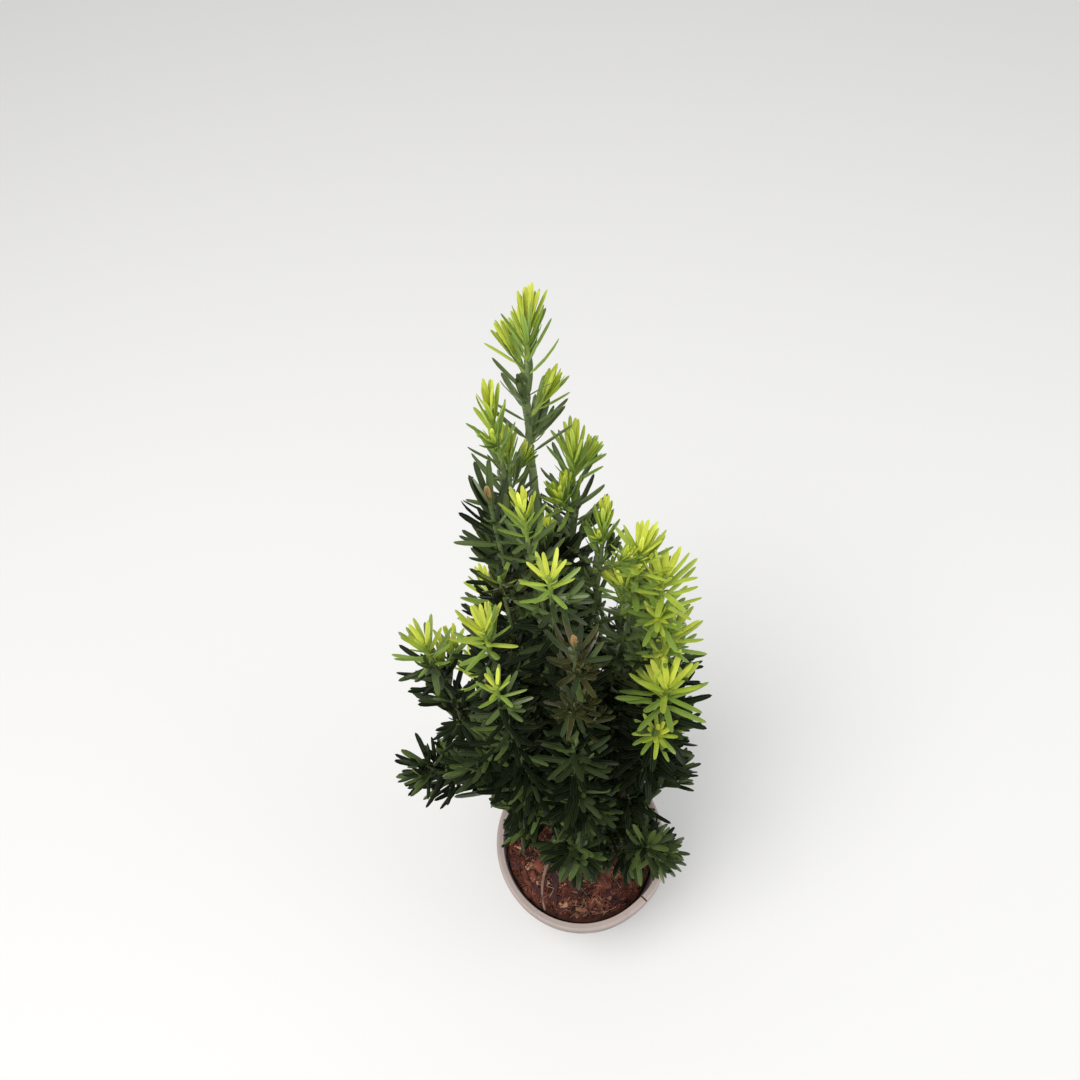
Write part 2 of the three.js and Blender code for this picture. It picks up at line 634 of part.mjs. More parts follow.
SHOOTS.forEach((shoot) => {
  const line = shootLine(shoot);
  const rootRadius = Math.min(trunkRadius(trunkShareAt(shoot.leaves)) * BOUGH_ROOT_SHARE, BOUGH_ROOT_MAX);
  const startRadius = shoot.bare > 0 ? rootRadius : TWIG_ROOT_RADIUS;
  const start = shareClearOfTrunk(line, startRadius, shoot.bare > 0 ? BOUGH_SIDES : TWIG_SIDES);
  let stemStart = start;
  if (shoot.bare > 0) {
    const radiusAt = (share) => lerp(rootRadius, BOUGH_TIP_RADIUS, share);
    const bough = limbSolid(line, start, shoot.bare, radiusAt, BOUGH_SIDES, BOUGH_RINGS);
    takeLine(`bough_${shoot.name}`, line, start, shoot.bare, radiusAt, 8);
    plant.add(namedMesh(`bough_${shoot.name}`, bough, BARK_COLOUR, 0.9));
    stemStart = shareAfter(line, shoot.bare, GAP);
  }
  masses.push({ shoot, mass: planMass(shoot, line, stemStart) });
});

masses.forEach(({ mass, shoot }) => addSideTwigs(mass, shoot));
masses.forEach(({ mass }) => placeWhorls(mass));

// The masses take turns, a whorl of each stem at a time, so that none crowds out its neighbours
const stems = masses.flatMap(({ mass }) => mass.stems.map((stem) => ({ mass, stem })));
const mostWhorls = Math.max(...stems.map(({ stem }) => stem.whorls.length));
for (let i = 0; i < mostWhorls; i += 1) {
  stems.filter(({ stem }) => i < stem.whorls.length)
    .forEach(({ mass, stem }) => growWhorl(mass, stem, stem.whorls[i]));
}
masses.forEach(({ mass }) => plant.add(massMesh(mass)));

export default plant;
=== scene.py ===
# The looks of a young hillii yew in its nursery pot, made round its packed solids.
# The plant is grown in millimetres by the rule that its solids follow and turned to metres as meshes.
import math
from collections import namedtuple
from functools import partial

import bpy
import numpy as np
from bpy.props import FloatProperty, FloatVectorProperty, IntProperty, PointerProperty
from mathutils import Matrix, Vector, noise
from mathutils.kdtree import KDTree


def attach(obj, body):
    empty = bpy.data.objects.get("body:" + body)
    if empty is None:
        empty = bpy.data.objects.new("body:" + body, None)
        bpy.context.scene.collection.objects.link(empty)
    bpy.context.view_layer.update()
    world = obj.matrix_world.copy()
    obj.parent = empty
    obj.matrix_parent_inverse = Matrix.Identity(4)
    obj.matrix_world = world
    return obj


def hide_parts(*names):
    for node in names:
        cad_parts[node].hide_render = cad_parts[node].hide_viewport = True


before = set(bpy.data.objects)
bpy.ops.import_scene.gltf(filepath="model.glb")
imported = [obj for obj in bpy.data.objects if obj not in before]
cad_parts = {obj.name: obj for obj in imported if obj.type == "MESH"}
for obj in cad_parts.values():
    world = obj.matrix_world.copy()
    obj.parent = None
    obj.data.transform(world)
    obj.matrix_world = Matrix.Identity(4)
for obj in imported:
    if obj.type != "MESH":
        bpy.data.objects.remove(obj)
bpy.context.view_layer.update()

bl_info = {
    "name": "Potted hillii yew",
    "version": (1, 0, 0),
    "blender": (4, 5, 0),
    "location": "View3D > Sidebar > Yew",
    "description": "Makes the pot, the bark mix, the wood, the shoots and the needles of a young yew",
    "category": "Object",
}

MM = 0.001
BODY = "root"

# Sizes of the solids, in millimetres
GAP = 0.3
POT_HEIGHT = 100
POT_MOUTH_RADIUS = 64.5
POT_INNER_RADIUS = 59
POT_BASE_RADIUS = 46.5
POT_FLOOR = 2.5
SOIL_TOP = 90
MOUTH_SQUEEZE = 0.014
TRUNK_FOOT = Vector((-2, 8, SOIL_TOP + GAP))
TRUNK_KNEE = Vector((-2, 8, SOIL_TOP + 95))
TRUNK_TIP = Vector((1, 80, SOIL_TOP + 358))
TRUNK_FOOT_RADIUS = 5.6
TRUNK_TIP_RADIUS = 1.9
FLARE_RADIUS = 3.2
FLARE_HEIGHT = 0.03
BOUGH_SIDES = 5
BOUGH_ROOT_SHARE = 0.58
BOUGH_ROOT_MAX = 3
BOUGH_TIP_RADIUS = 1.6
TWIG_SIDES = 3
TWIG_ROOT_RADIUS = 1.9
TWIG_TIP_RADIUS = 1.3
SIDE_TWIG_LENGTH = 27
SIDE_TWIG_LEAN = 46
SIDE_TWIG_TRIES = 9
SIDE_TWIGS_FROM = 0.25
SIDE_TWIGS_TO = 0.8
GOLDEN_ANGLE = 137.5
LEADER_TIP = Vector((8, 104, SOIL_TOP + 429))
LEADER_BEND = 36
LEADER_TWIG_LENGTH = 17
TWIG_FLUSH = 16
TWIG_NEEDLES = 0.82
TRUNK_TAPER = 0.85
# Where a shoot and a twig bend, as shares of reach and length, and how a twig curls up towards its tip
SHOOT_BEND = 0.75
TWIG_BEND = 0.55
TWIG_CURL = 0.25
TWIG_RISE = 0.6

# The shoots of the source: where each leaves the trunk above the soil, its heading (0 right, 90 away from
# the viewer), its reach out from the leaning axis, the height of its tip, the share that is bare bough, the
# share of the climb that it makes early, its side twigs and the seed of their rule.
# Then its looks: millimetres of new growth at the tip, how many of its last twigs are new, the shade of its
# old needles, how wide the needles at its tip open (0 a brush, 1 a star), and their size.
Shoot = namedtuple(
    "Shoot", "name leaves heading reach top bare lift twigs seed flush young shade open size"
)
SHOOTS = [
    Shoot("leader", 358, 0, 0, 429, 0, 0, 2, 43, 20, 2, "leaf", 0.12, 1.0),
    Shoot("left_upper", 262, -160, 16, 406, 0, 0.2, 1, 3, 22, 1, "leaf", 0.15, 0.9),
    Shoot("right_upper", 218, 37, 27, 358, 0.35, 0.3, 1, 3, 20, 1, "leaf", 0.2, 1.0),
    Shoot("front_upper", 206, -108, 22, 363, 0, 0.2, 0, 14, 15, 0, "leaf", 0.5, 0.85),
    Shoot("right_middle", 186, -4, 33, 333, 0.35, 0.3, 2, 46, 18, 1, "leaf", 0.1, 0.75),
    Shoot("left_back", 172, -151, 25, 365, 0.3, 0.25, 1, 3, 0, 0, "dark", 0.25, 1.1),
    Shoot("right_high", 150, -12, 51, 317, 0.45, 0.25, 2, 25, 26, 2, "leaf", 0.6, 1.05),
    Shoot("right_outer", 112, -13, 63, 298, 0.5, 0.2, 2, 20, 36, 2, "leaf", 0.7, 1.2),
    Shoot("right_side", 90, -17, 68, 261, 0.5, 0.2, 1, 3, 20, 0, "dark", 0.9, 1.0),
    Shoot("right_low", 52, -34, 71, 239, 0.55, 0.15, 1, 14, 18, 1, "dark", 0.85, 1.4),
    Shoot("front_star", 156, -88, 39, 339, 0.3, 0.2, 1, 4, 12, 0, "dark", 1.0, 0.88),
    Shoot("left_inner", 138, -142, 29, 320, 0.3, 0.25, 0, 22, 6, 0, "bronze", 0.8, 0.8),
    Shoot("front_bronze", 118, -81, 59, 316, 0.3, 0.2, 2, 3, 0, 0, "bronze", 0.75, 0.85),
    Shoot("left_high", 102, -136, 48, 300, 0.35, 0.2, 1, 58, 16, 1, "dark", 0.8, 1.05),
    Shoot("left_outer", 80, -169, 71, 268, 0.4, 0.2, 3, 17, 14, 1, "dark", 0.7, 1.05),
    Shoot("left_small", 68, -120, 64, 284, 0.3, 0.2, 1, 3, 8, 0, "dark", 1.0, 0.7),
    Shoot("left_low", 40, -174, 94, 146, 0.4, 0.6, 1, 1, 0, 0, "dark", 0.6, 1.0),
    Shoot("front_left_low", 22, -147, 40, 96, 0, 0.4, 1, 21, 0, 0, "dark", 0.7, 1.0),
    Shoot("front_low", 15, -93, 60, 109, 0, 0.5, 1, 9, 0, 0, "dark", 0.8, 1.0),
    Shoot("front_right_low", 16, -47, 69, 76, 0.3, 0.5, 1, 28, 0, 0, "dark", 0.8, 1.0),
    Shoot("right_lowest", 28, -9, 64, 82, 0.35, 0.4, 2, 13, 0, 0, "dark", 0.6, 1.0),
    Shoot("front_middle", 56, -87, 59, 228, 0.25, 0.2, 2, 32, 0, 0, "dark", 0.8, 1.0),
    Shoot("front_right_middle", 32, -54, 37, 105, 0, 0.3, 2, 29, 0, 0, "dark", 0.6, 1.0),
    Shoot("right_back", 64, 11, 67, 128, 0.45, 0.3, 2, 6, 0, 0, "dark", 0.5, 0.9),
    Shoot("front_left_middle", 50, -138, 62, 220, 0.35, 0.2, 2, 3, 0, 0, "dark", 0.7, 1.0),
    Shoot("back_left", 96, 124, 64, 226, 0.45, 0.25, 2, 36, 18, 1, "dark", 0.6, 1.0),
    Shoot("back_right", 86, 47, 77, 210, 0.45, 0.25, 2, 37, 20, 1, "dark", 0.6, 1.0),
    Shoot("back_high", 128, 86, 56, 266, 0.35, 0.3, 2, 50, 24, 1, "leaf", 0.5, 0.9),
    Shoot("back_low_left", 40, 137, 77, 106, 0.4, 0.3, 2, 39, 0, 0, "dark", 0.6, 0.9),
    Shoot("back_low_right", 30, 37, 80, 90, 0.4, 0.3, 2, 40, 0, 0, "dark", 0.6, 0.9),
    Shoot("back_low", 44, 92, 68, 88, 0.35, 0.4, 2, 41, 0, 0, "dark", 0.6, 0.9),
]

# The camera of the photograph
CAMERA_PLACE = Vector((0, -0.1969, 0.7866))
CAMERA_PITCH = 55.49
CAMERA_ROLL = 7.73
CAMERA_LENS = 30
SENSOR = 36
PHOTO_SIDE = 1080

# Places of the photograph that needles leave open: middle and half sizes in its pixels
Window = namedtuple("Window", "x y wide high")
WINDOWS = [
    Window(613, 588, 7, 8),
    Window(606, 606, 5, 7),
    Window(617, 626, 6, 6),
    Window(506, 615, 7, 9),
    Window(519, 619, 6, 5),
    Window(517, 640, 5, 5),
    Window(527, 647, 4, 4),
    Window(463, 679, 5, 9),
    Window(477, 693, 4, 4),
    Window(432, 716, 16, 11),
    Window(412, 740, 10, 9),
    Window(472, 812, 21, 14),
    Window(483, 832, 11, 15),
    Window(667, 804, 13, 18),
    Window(498, 822, 8, 13),
    Window(546, 832, 8, 13),
    Window(564, 803, 7, 5),
]


def camera_directions():
    """The photograph's right, up and ahead: it looks down on the pot from the front, a little rolled."""
    pitch, roll = math.radians(CAMERA_PITCH), math.radians(CAMERA_ROLL)
    ahead = Vector((0, math.cos(pitch), -math.sin(pitch)))
    level_up = Vector((0, math.sin(pitch), math.cos(pitch)))
    level_right = Vector((1, 0, 0))
    up = math.cos(roll) * level_up + math.sin(roll) * level_right
    return math.cos(roll) * level_right - math.sin(roll) * level_up, up, ahead


def size_setting(name, description, metres):
    return FloatProperty(name=name, description=description, default=metres, unit="LENGTH")


def colour_setting(name, description, *rgb):
    return FloatVectorProperty(name=name, description=description, default=rgb, subtype="COLOR")


class YEW_PG_pot(bpy.types.PropertyGroup):
    """Sizes and colour of the nursery pot."""

    rim_round: size_setting("Inner rounding", "Radius of the rim's inner edge", 0.0007)
    outer_round: size_setting("Outer rounding", "Radius of the rim's outer edge", 0.0022)
    flange_slope: size_setting("Rim slope", "How far the rim dips towards the mouth", 0.0004)
    segments: IntProperty(name="Segments", description="Steps round the pot", default=192, min=48)
    colour: colour_setting("Plastic", "Colour of the pot", 0.385, 0.315, 0.29)
    dust: colour_setting("Dust", "Colour of the dried soil on it", 0.13, 0.075, 0.055)


class YEW_PG_soil(bpy.types.PropertyGroup):
    """Sizes and colours of the bark mix."""

    chip_length: size_setting("Chip length", "Longest bark chip", 0.011)
    fibre_length: size_setting("Fibre length", "Longest bark fibre", 0.024)
    fibre_radius: size_setting("Fibre thickness", "Radius of a fibre", 0.00032)
    seed: IntProperty(name="Seed", description="Seed of the scattering", default=5)
    # The mix is near-black partly as its own humus colour and partly as painted shade in the gaps between
    # chips
    dark: colour_setting("Humus", "Colour of the mix", 0.018, 0.008, 0.006)
    red: colour_setting("Bark", "Colour of the chips", 0.25, 0.081, 0.051)
    tan: colour_setting("Wood", "Colour of pale chips", 0.49, 0.285, 0.175)
    strip: colour_setting("Bark strip", "Colour of long strips", 0.072, 0.028, 0.029)
    stalk: colour_setting("Stalk", "Colour of the long stalk", 0.30, 0.19, 0.15)
    straw: colour_setting("Straw", "Colour of dry stalks", 0.56, 0.41, 0.25)


class YEW_PG_plant(bpy.types.PropertyGroup):
    """Sizes of the shoots and needles."""

    needle_low: size_setting("Low needles", "Length of needles at the foot", 0.0245)
    needle_top: size_setting("Top needles", "Length of needles at the top", 0.0225)
    needle_width: size_setting("Needle width", "Width of a needle", 0.0036)
    needle_thickness: size_setting("Needle thickness", "Thickness at the rib", 0.0008)
    trunk_relief: size_setting("Bark relief", "Depth of the bark's ridges", 0.0007)


class YEW_PG_colours(bpy.types.PropertyGroup):
    """Colours of the wood, shoots and needles."""

    bright: colour_setting("Newest needles", "Heart of a new spray", 0.60, 0.66, 0.08)
    lime: colour_setting("New needles", "New growth", 0.37, 0.475, 0.058)
    fresh: colour_setting("Hardening needles", "Foot of new growth", 0.195, 0.30, 0.05)
    leaf: colour_setting("Green needles", "Last year's needles", 0.094, 0.133, 0.042)
    dark: colour_setting("Old needles", "Older needles", 0.036, 0.054, 0.020)
    # Painted shade: a near-black green dealt to needles inside the crown, where shadow falls
    deep: colour_setting("Inner needles", "Oldest needles", 0.0085, 0.0138, 0.0060)
    bronze: colour_setting("Bronzed needles", "Scorched tips", 0.044, 0.048, 0.014)
    # The bronze edges are partly the scorched needles' own tan and partly a painted highlight
    bronze_edge: colour_setting("Bronzed edges", "Edges of scorched tips", 0.19, 0.15, 0.06)
    young_stem: colour_setting("Young stem", "Stem of new growth", 0.25, 0.33, 0.06)
    green_stem: colour_setting("Green stem", "Stem of older shoots", 0.165, 0.22, 0.085)
    bark: colour_setting("Bark", "Bark of trunk and boughs", 0.13, 0.068, 0.036)
    bud: colour_setting("Bud scales", "Scales of buds", 0.46, 0.31, 0.13)


class YEW_PG_stage(bpy.types.PropertyGroup):
    """Floor and light."""

    floor: colour_setting("Floor", "Colour of the floor", 0.68, 0.68, 0.675)
    sky: FloatProperty(name="Sky", description="Strength of the light all round", default=0.78, min=0)
    key: FloatProperty(name="Key light", description="Power of the main light", default=30, unit="POWER")
    fill: FloatProperty(name="Fill light", description="Power of the fill light", default=3.5, unit="POWER")


# Growth of the plant


class Draws:
    """A stream of numbers from 0 to 1 that is the same on every run and the same as the source's."""

    RANGE = 2**32
    SEED_FACTOR = 2654435761
    FACTOR = 1664525
    STEP = 1013904223

    def __init__(self, seed):
        self.state = seed * self.SEED_FACTOR % self.RANGE

    def next(self):
        self.state = (self.state * self.FACTOR + self.STEP) % self.RANGE
        return self.state / self.RANGE

    def between(self, low, high):
        return low + (high - low) * self.next()

    def spread(self, share):
        return 1 + share * (2 * self.next() - 1)


def mix(low, high, share):
    return low + (high - low) * share


def smooth(edge_low, edge_high, value):
    share = min(max((value - edge_low) / (edge_high - edge_low), 0), 1)
    return share * share * (3 - 2 * share)


class Line:
    """A limb's line: one quadratic bend in a plane, with the direction square to that plane as its side."""

    def __init__(self, start, bend, end):
        self.start = start.copy()
        self.bend = bend.copy()
        self.end = end.copy()
        chord = end - start
        side = chord.cross(bend - start)
        if side.length < 1e-3 * chord.length_squared:
            side = chord.cross(Vector((1, 0.3, 0)))
        self.side = side.normalized()

    def point(self, t):
        return (1 - t) ** 2 * self.start + 2 * (1 - t) * t * self.bend + t * t * self.end

    def along(self, t):
        return ((1 - t) * (self.bend - self.start) + t * (self.end - self.bend)).normalized()

    def frame(self, t):
        along = self.along(t)
        return Frame(self.point(t), along, self.side, along.cross(self.side).normalized())

    def length(self, start=0.0, steps=24):
        points = [self.point(mix(start, 1, i / steps)) for i in range(steps + 1)]
        return sum((b - a).length for a, b in zip(points, points[1:]))

    def share_after(self, t, distance):
        speed = (self.point(t + 0.01) - self.point(t)).length / 0.01
        return t + distance / speed


class Frame(namedtuple("Frame", "point along side across")):
    """A place on a limb with its three directions."""

    def round(self, angle, radius):
        return self.point + radius * math.cos(angle) * self.side + radius * math.sin(angle) * self.across

    def out(self, angle):
        return math.cos(angle) * self.side + math.sin(angle) * self.across


class Room:
    """Space that is taken already: rounded rods, each with the name of its owner."""

    def __init__(self):
        self.owners = []
        self.rods = []

    def take(self, owner, start, end, radius):
        self.owners.append(owner)
        self.rods.append((*start, *end, radius))

    def take_line(self, owner, line, first, last, radius_at, steps):
        for i in range(steps):
            start = line.point(mix(first, last, i / steps))
            end = line.point(mix(first, last, (i + 1) / steps))
            self.take(owner, start, end, radius_at(i / steps))

    def distances(self, start, end):
        """Distance from a straight stretch to the surface of every rod."""
        rods = np.array(self.rods)
        p1 = np.array(start)
        d1 = np.array(end) - p1
        p2 = rods[:, 0:3]
        d2 = rods[:, 3:6] - p2
        r = p1 - p2
        a = float(d1 @ d1)
        e = (d2 * d2).sum(1)
        f = (d2 * r).sum(1)
        c = r @ d1
        b = d2 @ d1
        denominator = a * e - b * b
        usable = denominator > 1e-9
        s = np.where(usable, np.clip((b * f - c * e) / np.where(usable, denominator, 1), 0, 1), 0)
        t = (b * s + f) / e
        s = np.where(t < 0, np.clip(-c / a, 0, 1), np.where(t > 1, np.clip((b - c) / a, 0, 1), s))
        t = np.clip(t, 0, 1)
        gaps = (p1 + d1 * s[:, None]) - (p2 + d2 * t[:, None])
        return np.sqrt((gaps * gaps).sum(1)) - rods[:, 6]

    def free(self, owner, start, end, radius):
        others = np.array([name != owner for name in self.owners])
        return bool(np.all(self.distances(start, end)[others] > radius + GAP))


def clear_of_pot(place, radius):
    """Foliage keeps off the soil and the pot's rim, but may hang over both."""
    out = math.hypot(place.x, place.y)
    if out > POT_MOUTH_RADIUS * (1 + MOUTH_SQUEEZE) + radius + GAP:
        return True
    over_soil = out < POT_INNER_RADIUS * (1 - MOUTH_SQUEEZE) - radius - GAP
    floor = SOIL_TOP if over_soil else POT_HEIGHT
    return place.z > floor + radius + GAP


def rod_is_clear_of_pot(start, end, radius, steps=6):
    return all(clear_of_pot(start.lerp(end, i / steps), radius) for i in range(steps + 1))


TRUNK = Line(TRUNK_FOOT, TRUNK_KNEE, TRUNK_TIP)
LEAN = (TRUNK_TIP - TRUNK_FOOT) / (TRUNK_TIP.z - TRUNK_FOOT.z)
# Steps along a whole shoot in which its way out of the trunk is searched
TRUNK_SEARCH = 1000


def trunk_radius(share):
    taper = mix(TRUNK_FOOT_RADIUS, TRUNK_TIP_RADIUS, share**TRUNK_TAPER)
    return taper + FLARE_RADIUS * math.exp(-share / FLARE_HEIGHT)


def trunk_share_at(height):
    """The share of the trunk's line that lies at a height above the soil."""
    low, high = 0.0, 1.0
    for _ in range(40):
        middle = (low + high) / 2
        if TRUNK.point(middle).z - SOIL_TOP < height:
            low = middle
        else:
            high = middle
    return low


def shoot_line(shoot):
    """The line of a shoot, from the middle of the trunk out and up to its tip."""
    if shoot.name == "leader":
        return Line(TRUNK_TIP, TRUNK_TIP + LEADER_BEND * TRUNK.along(1), LEADER_TIP)
    start = TRUNK.point(trunk_share_at(shoot.leaves))
    heading = math.radians(shoot.heading)
    out = Vector((math.cos(heading), math.sin(heading), 0))
    climb = SOIL_TOP + shoot.top - start.z
    end = start + shoot.reach * out + climb * LEAN
    bend = start + SHOOT_BEND * shoot.reach * out + climb * shoot.lift * LEAN
    return Line(start, bend, end)


def share_clear_of_trunk(room, line, radius, sides):
    """The first share of a line at which a ring of the given radius is clear of the trunk."""
    for step in range(TRUNK_SEARCH // 2):
        place = line.frame(step / TRUNK_SEARCH)
        reaches = (radius, radius * math.cos(math.pi / sides))
        ring = [place.round(i * math.pi / sides, reaches[i % 2]) for i in range(2 * sides)]
        if all(room.distances(p, p + Vector((0, 0, 0.01))).min() > GAP for p in ring):
            return step / TRUNK_SEARCH
    raise RuntimeError("a shoot never leaves the trunk")


def side_line(place, spin, length, lean_angle=SIDE_TWIG_LEAN):
    """A side twig leans off its stem at a spin about it and turns up towards its own tip."""
    lean = math.radians(lean_angle)
    heading = math.cos(lean) * place.along + math.sin(lean) * place.out(spin)
    bend = place.point + TWIG_BEND * length * heading
    rise = (place.along + Vector((0, 0, TWIG_RISE))).normalized()
    end = bend + TWIG_CURL * length * heading + TWIG_CURL * length * rise
    return Line(place.point, bend, end)


# A stem that carries needles: its line from a share on, its radii, its bare foot, new growth and looks
Stem = namedtuple("Stem", "line start root tip foot flush shade open size kind seed")
# Radius at the foot, radius at the tip and bare foot of twigs and sprigs, in millimetres
TWIG_SIZES = (1.3, 0.9, 5)
SPRIG_SIZES = (0.9, 0.7, 2)
INNER_SIZES = (1.0, 0.7, 3)
SHOOT_TIP_RADIUS = 1.1
SHOOT_BARE_FOOT = 7
# Straight rods that stand in for the trunk, a bough, the stem of a mass and a side twig
TRUNK_RODS = 90
BOUGH_RODS = 8
MASS_RODS = 6
TWIG_RODS = 3
# How far a side twig keeps from other masses and from the pot, in millimetres, and the turn to its next try
TWIG_CLEARANCE = 4
TWIG_POT_CLEARANCE = 5
NEXT_TRY_TURN = 40


def trunk_room():
    """Room in which the trunk alone stands."""
    room = Room()
    room.take_line("trunk", TRUNK, 0, 1, trunk_radius, TRUNK_RODS)
    return room


def grow_plant():
    """The boughs as (line, share at the tip, radius at the foot, seed) and the needled stems."""
    bare_trunk, room = trunk_room(), trunk_room()
    boughs = []
    masses = []
    for shoot in SHOOTS:
        line = shoot_line(shoot)
        owner = f"foliage_{shoot.name}"
        if shoot.name == "leader":
            start = line.share_after(0, GAP)
        else:
            thick = min(trunk_radius(trunk_share_at(shoot.leaves)) * BOUGH_ROOT_SHARE, BOUGH_ROOT_MAX)
            root = thick if shoot.bare else TWIG_ROOT_RADIUS
            sides = BOUGH_SIDES if shoot.bare else TWIG_SIDES
            start = share_clear_of_trunk(bare_trunk, line, root, sides)
            if shoot.bare:
                room.take_line(
                    f"bough_{shoot.name}", line, start, shoot.bare,
                    lambda share: mix(thick, BOUGH_TIP_RADIUS, share), BOUGH_RODS,
                )
                boughs.append((line, shoot.bare, thick, shoot.seed))
                start = line.share_after(shoot.bare, GAP)
        room.take_line(owner, line, start, 1, lambda share: TWIG_ROOT_RADIUS, MASS_RODS)
        masses.append((shoot, line, start, owner))
    stems = []
    for shoot, line, start, owner in masses:
        draws = Draws(shoot.seed)
        stems.append(main_stem(shoot, line))
        stems += side_twigs(room, shoot, line, start, owner, draws)
    return boughs, stems


def main_stem(shoot, line):
    start = shoot.bare if shoot.bare else 0
    root = BOUGH_TIP_RADIUS if shoot.bare else TWIG_ROOT_RADIUS
    looks = (shoot.flush, shoot.shade, shoot.open, shoot.size)
    kind = "budded" if shoot.name in BIG_BUDDED else "shoot"
    sizes = (root, SHOOT_TIP_RADIUS, SHOOT_BARE_FOOT)
    return Stem(line, start, *sizes, *looks, kind, shoot.seed + 100)


def side_twigs(room, shoot, line, start, owner, draws):
    twigs = []
    first_spin = draws.next() * 360
    for i in range(shoot.twigs):
        share = (i + 0.5 * draws.next() + 0.25) / shoot.twigs
        t = mix(start, 1, mix(SIDE_TWIGS_FROM, SIDE_TWIGS_TO, share))
        full = LEADER_TWIG_LENGTH if shoot.name == "leader" else SIDE_TWIG_LENGTH
        length = full * draws.between(0.75, 1.15)
        place = line.frame(t)
        for attempt in range(SIDE_TWIG_TRIES):
            spin = math.radians(first_spin + i * GOLDEN_ANGLE + attempt * NEXT_TRY_TURN)
            twig = side_line(place, spin, length)
            foot, middle, tip = (twig.point(s) for s in (0.2, 0.55, 1))
            free = all(room.free(owner, *rod, TWIG_CLEARANCE) for rod in ((foot, middle), (middle, tip)))
            if free and rod_is_clear_of_pot(middle, tip, TWIG_POT_CLEARANCE):
                room.take_line(owner, twig, 0, 1, lambda share: TWIG_TIP_RADIUS, TWIG_RODS)
                flush = TWIG_FLUSH if i >= shoot.twigs - shoot.young else 0
                looks = (flush, shoot.shade, shoot.open, min(shoot.size, 1) * TWIG_NEEDLES)
                twigs.append(Stem(twig, 0, *TWIG_SIZES, *looks, "twig", shoot.seed + 200 + i))
                break
    return twigs


# Meshes


def new_object(name, data):
    made = bpy.data.objects.new(name, data)
    bpy.context.scene.collection.objects.link(made)
    return made


def finished_piece(name, mesh, materials, replaced=()):
    """A piece at the origin that rides on the part's one body."""
    piece = new_object(name, mesh)
    for material in materials:
        mesh.materials.append(material)
    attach(piece, BODY)
    if replaced:
        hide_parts(*replaced)
    return piece


def evaluated_mesh(made):
    """The plain mesh that an object's modifier makes. The object itself is dropped."""
    graph = bpy.context.evaluated_depsgraph_get()
    mesh = bpy.data.meshes.new_from_object(made.evaluated_get(graph))
    bpy.data.objects.remove(made)
    return mesh


def plain_mesh(name, points, faces):
    """A smooth mesh in metres from points in millimetres."""
    mesh = bpy.data.meshes.new(name)
    mesh.from_pydata([tuple(MM * c for c in p) for p in points], [], faces)
    mesh.update()
    mesh.shade_smooth()
    return mesh


def turned(count):
    """Angles in even steps round a full turn."""
    return [2 * math.pi * i / count for i in range(count)]


def polar(radius, angle, height=0.0):
    """The place at a distance from the upright axis, on a heading."""
    return Vector((radius * math.cos(angle), radius * math.sin(angle), height))


class Shell:
    """Closed tubes that are gathered up before they become one mesh."""

    def __init__(self):
        self.points = []
        self.faces = []

    def add_tube(self, rings, ends=None):
        """A tube through rings of points. Its ends close to the points given, or else to their middles."""
        sides = len(rings[0])
        first = len(self.points)
        foot = first + sides * len(rings)
        last = foot - sides
        self.points += [point for ring in rings for point in ring]
        self.points += ends or [sum(ring, Vector()) / sides for ring in (rings[0], rings[-1])]
        for start in range(first, last, sides):
            for i in range(sides):
                a, b = start + i, start + (i + 1) % sides
                self.faces.append((a, b, b + sides, a + sides))
        for i in range(sides):
            k = (i + 1) % sides
            self.faces.append((foot, first + k, first + i))
            self.faces.append((foot + 1, last + i, last + k))

    def mesh(self, name):
        return plain_mesh(name, self.points, self.faces)


def rings_along(line, first, last, steps, sides, reach):
    """Rings of points round a limb. reach gives a point's distance from the line by place, angle and step."""
    rings = []
    for step in range(steps + 1):
        place = line.frame(mix(first, last, step / steps))
        rings.append([place.round(angle, reach(place, angle, step)) for angle in turned(sides)])
    return rings


def copies_mesh(name, points, faces, uv, sharp):
    """One mesh of many copies of a form: points is (copies, corners, 3) in metres, faces and uv (by face
    corner) are the form's own, and sharp holds the pairs of its corners that make crisp edges."""
    copies, corners, _ = points.shape
    sizes = np.array([len(face) for face in faces])
    form = np.concatenate([np.array(face) for face in faces])
    indices = (form[None, :] + corners * np.arange(copies)[:, None]).ravel()
    starts = np.concatenate([[0], np.cumsum(np.tile(sizes, copies))[:-1]])
    mesh = bpy.data.meshes.new(name)
    mesh.vertices.add(copies * corners)
    mesh.vertices.foreach_set("co", points.astype(np.float32).ravel())
    mesh.loops.add(len(indices))
    mesh.loops.foreach_set("vertex_index", indices.astype(np.int32))
    mesh.polygons.add(len(starts))
    mesh.polygons.foreach_set("loop_start", starts.astype(np.int32))
    mesh.update(calc_edges=True)
    mesh.shade_smooth()
    layer = mesh.uv_layers.new(name="blade")
    layer.uv.foreach_set("vector", np.tile(uv, (copies, 1)).astype(np.float32).ravel())
    crisp = np.zeros((corners, corners), bool)
    for a, b in sharp:
        crisp[a, b] = True
        crisp[b, a] = True
    edges = np.empty(2 * len(mesh.edges), np.int32)
    mesh.edges.foreach_get("vertices", edges)
    edges = edges.reshape(-1, 2) % corners
    mark = mesh.attributes.new("sharp_edge", "BOOLEAN", "EDGE")
    mark.data.foreach_set("value", crisp[edges[:, 0], edges[:, 1]])
    return mesh


# Needles

# Half the width and half the thickness of a needle along it, as shares of the fullest, from stalk to tip
NEEDLE_ALONG = np.array([0.0, 0.06, 0.18, 0.46, 0.78, 0.94, 1.0])
NEEDLE_WIDE = np.array([0.3, 0.42, 0.9, 1.0, 0.9, 0.58, 0.0])
NEEDLE_THICK = np.array([0.7, 0.75, 0.95, 1.0, 0.85, 0.5, 0.0])


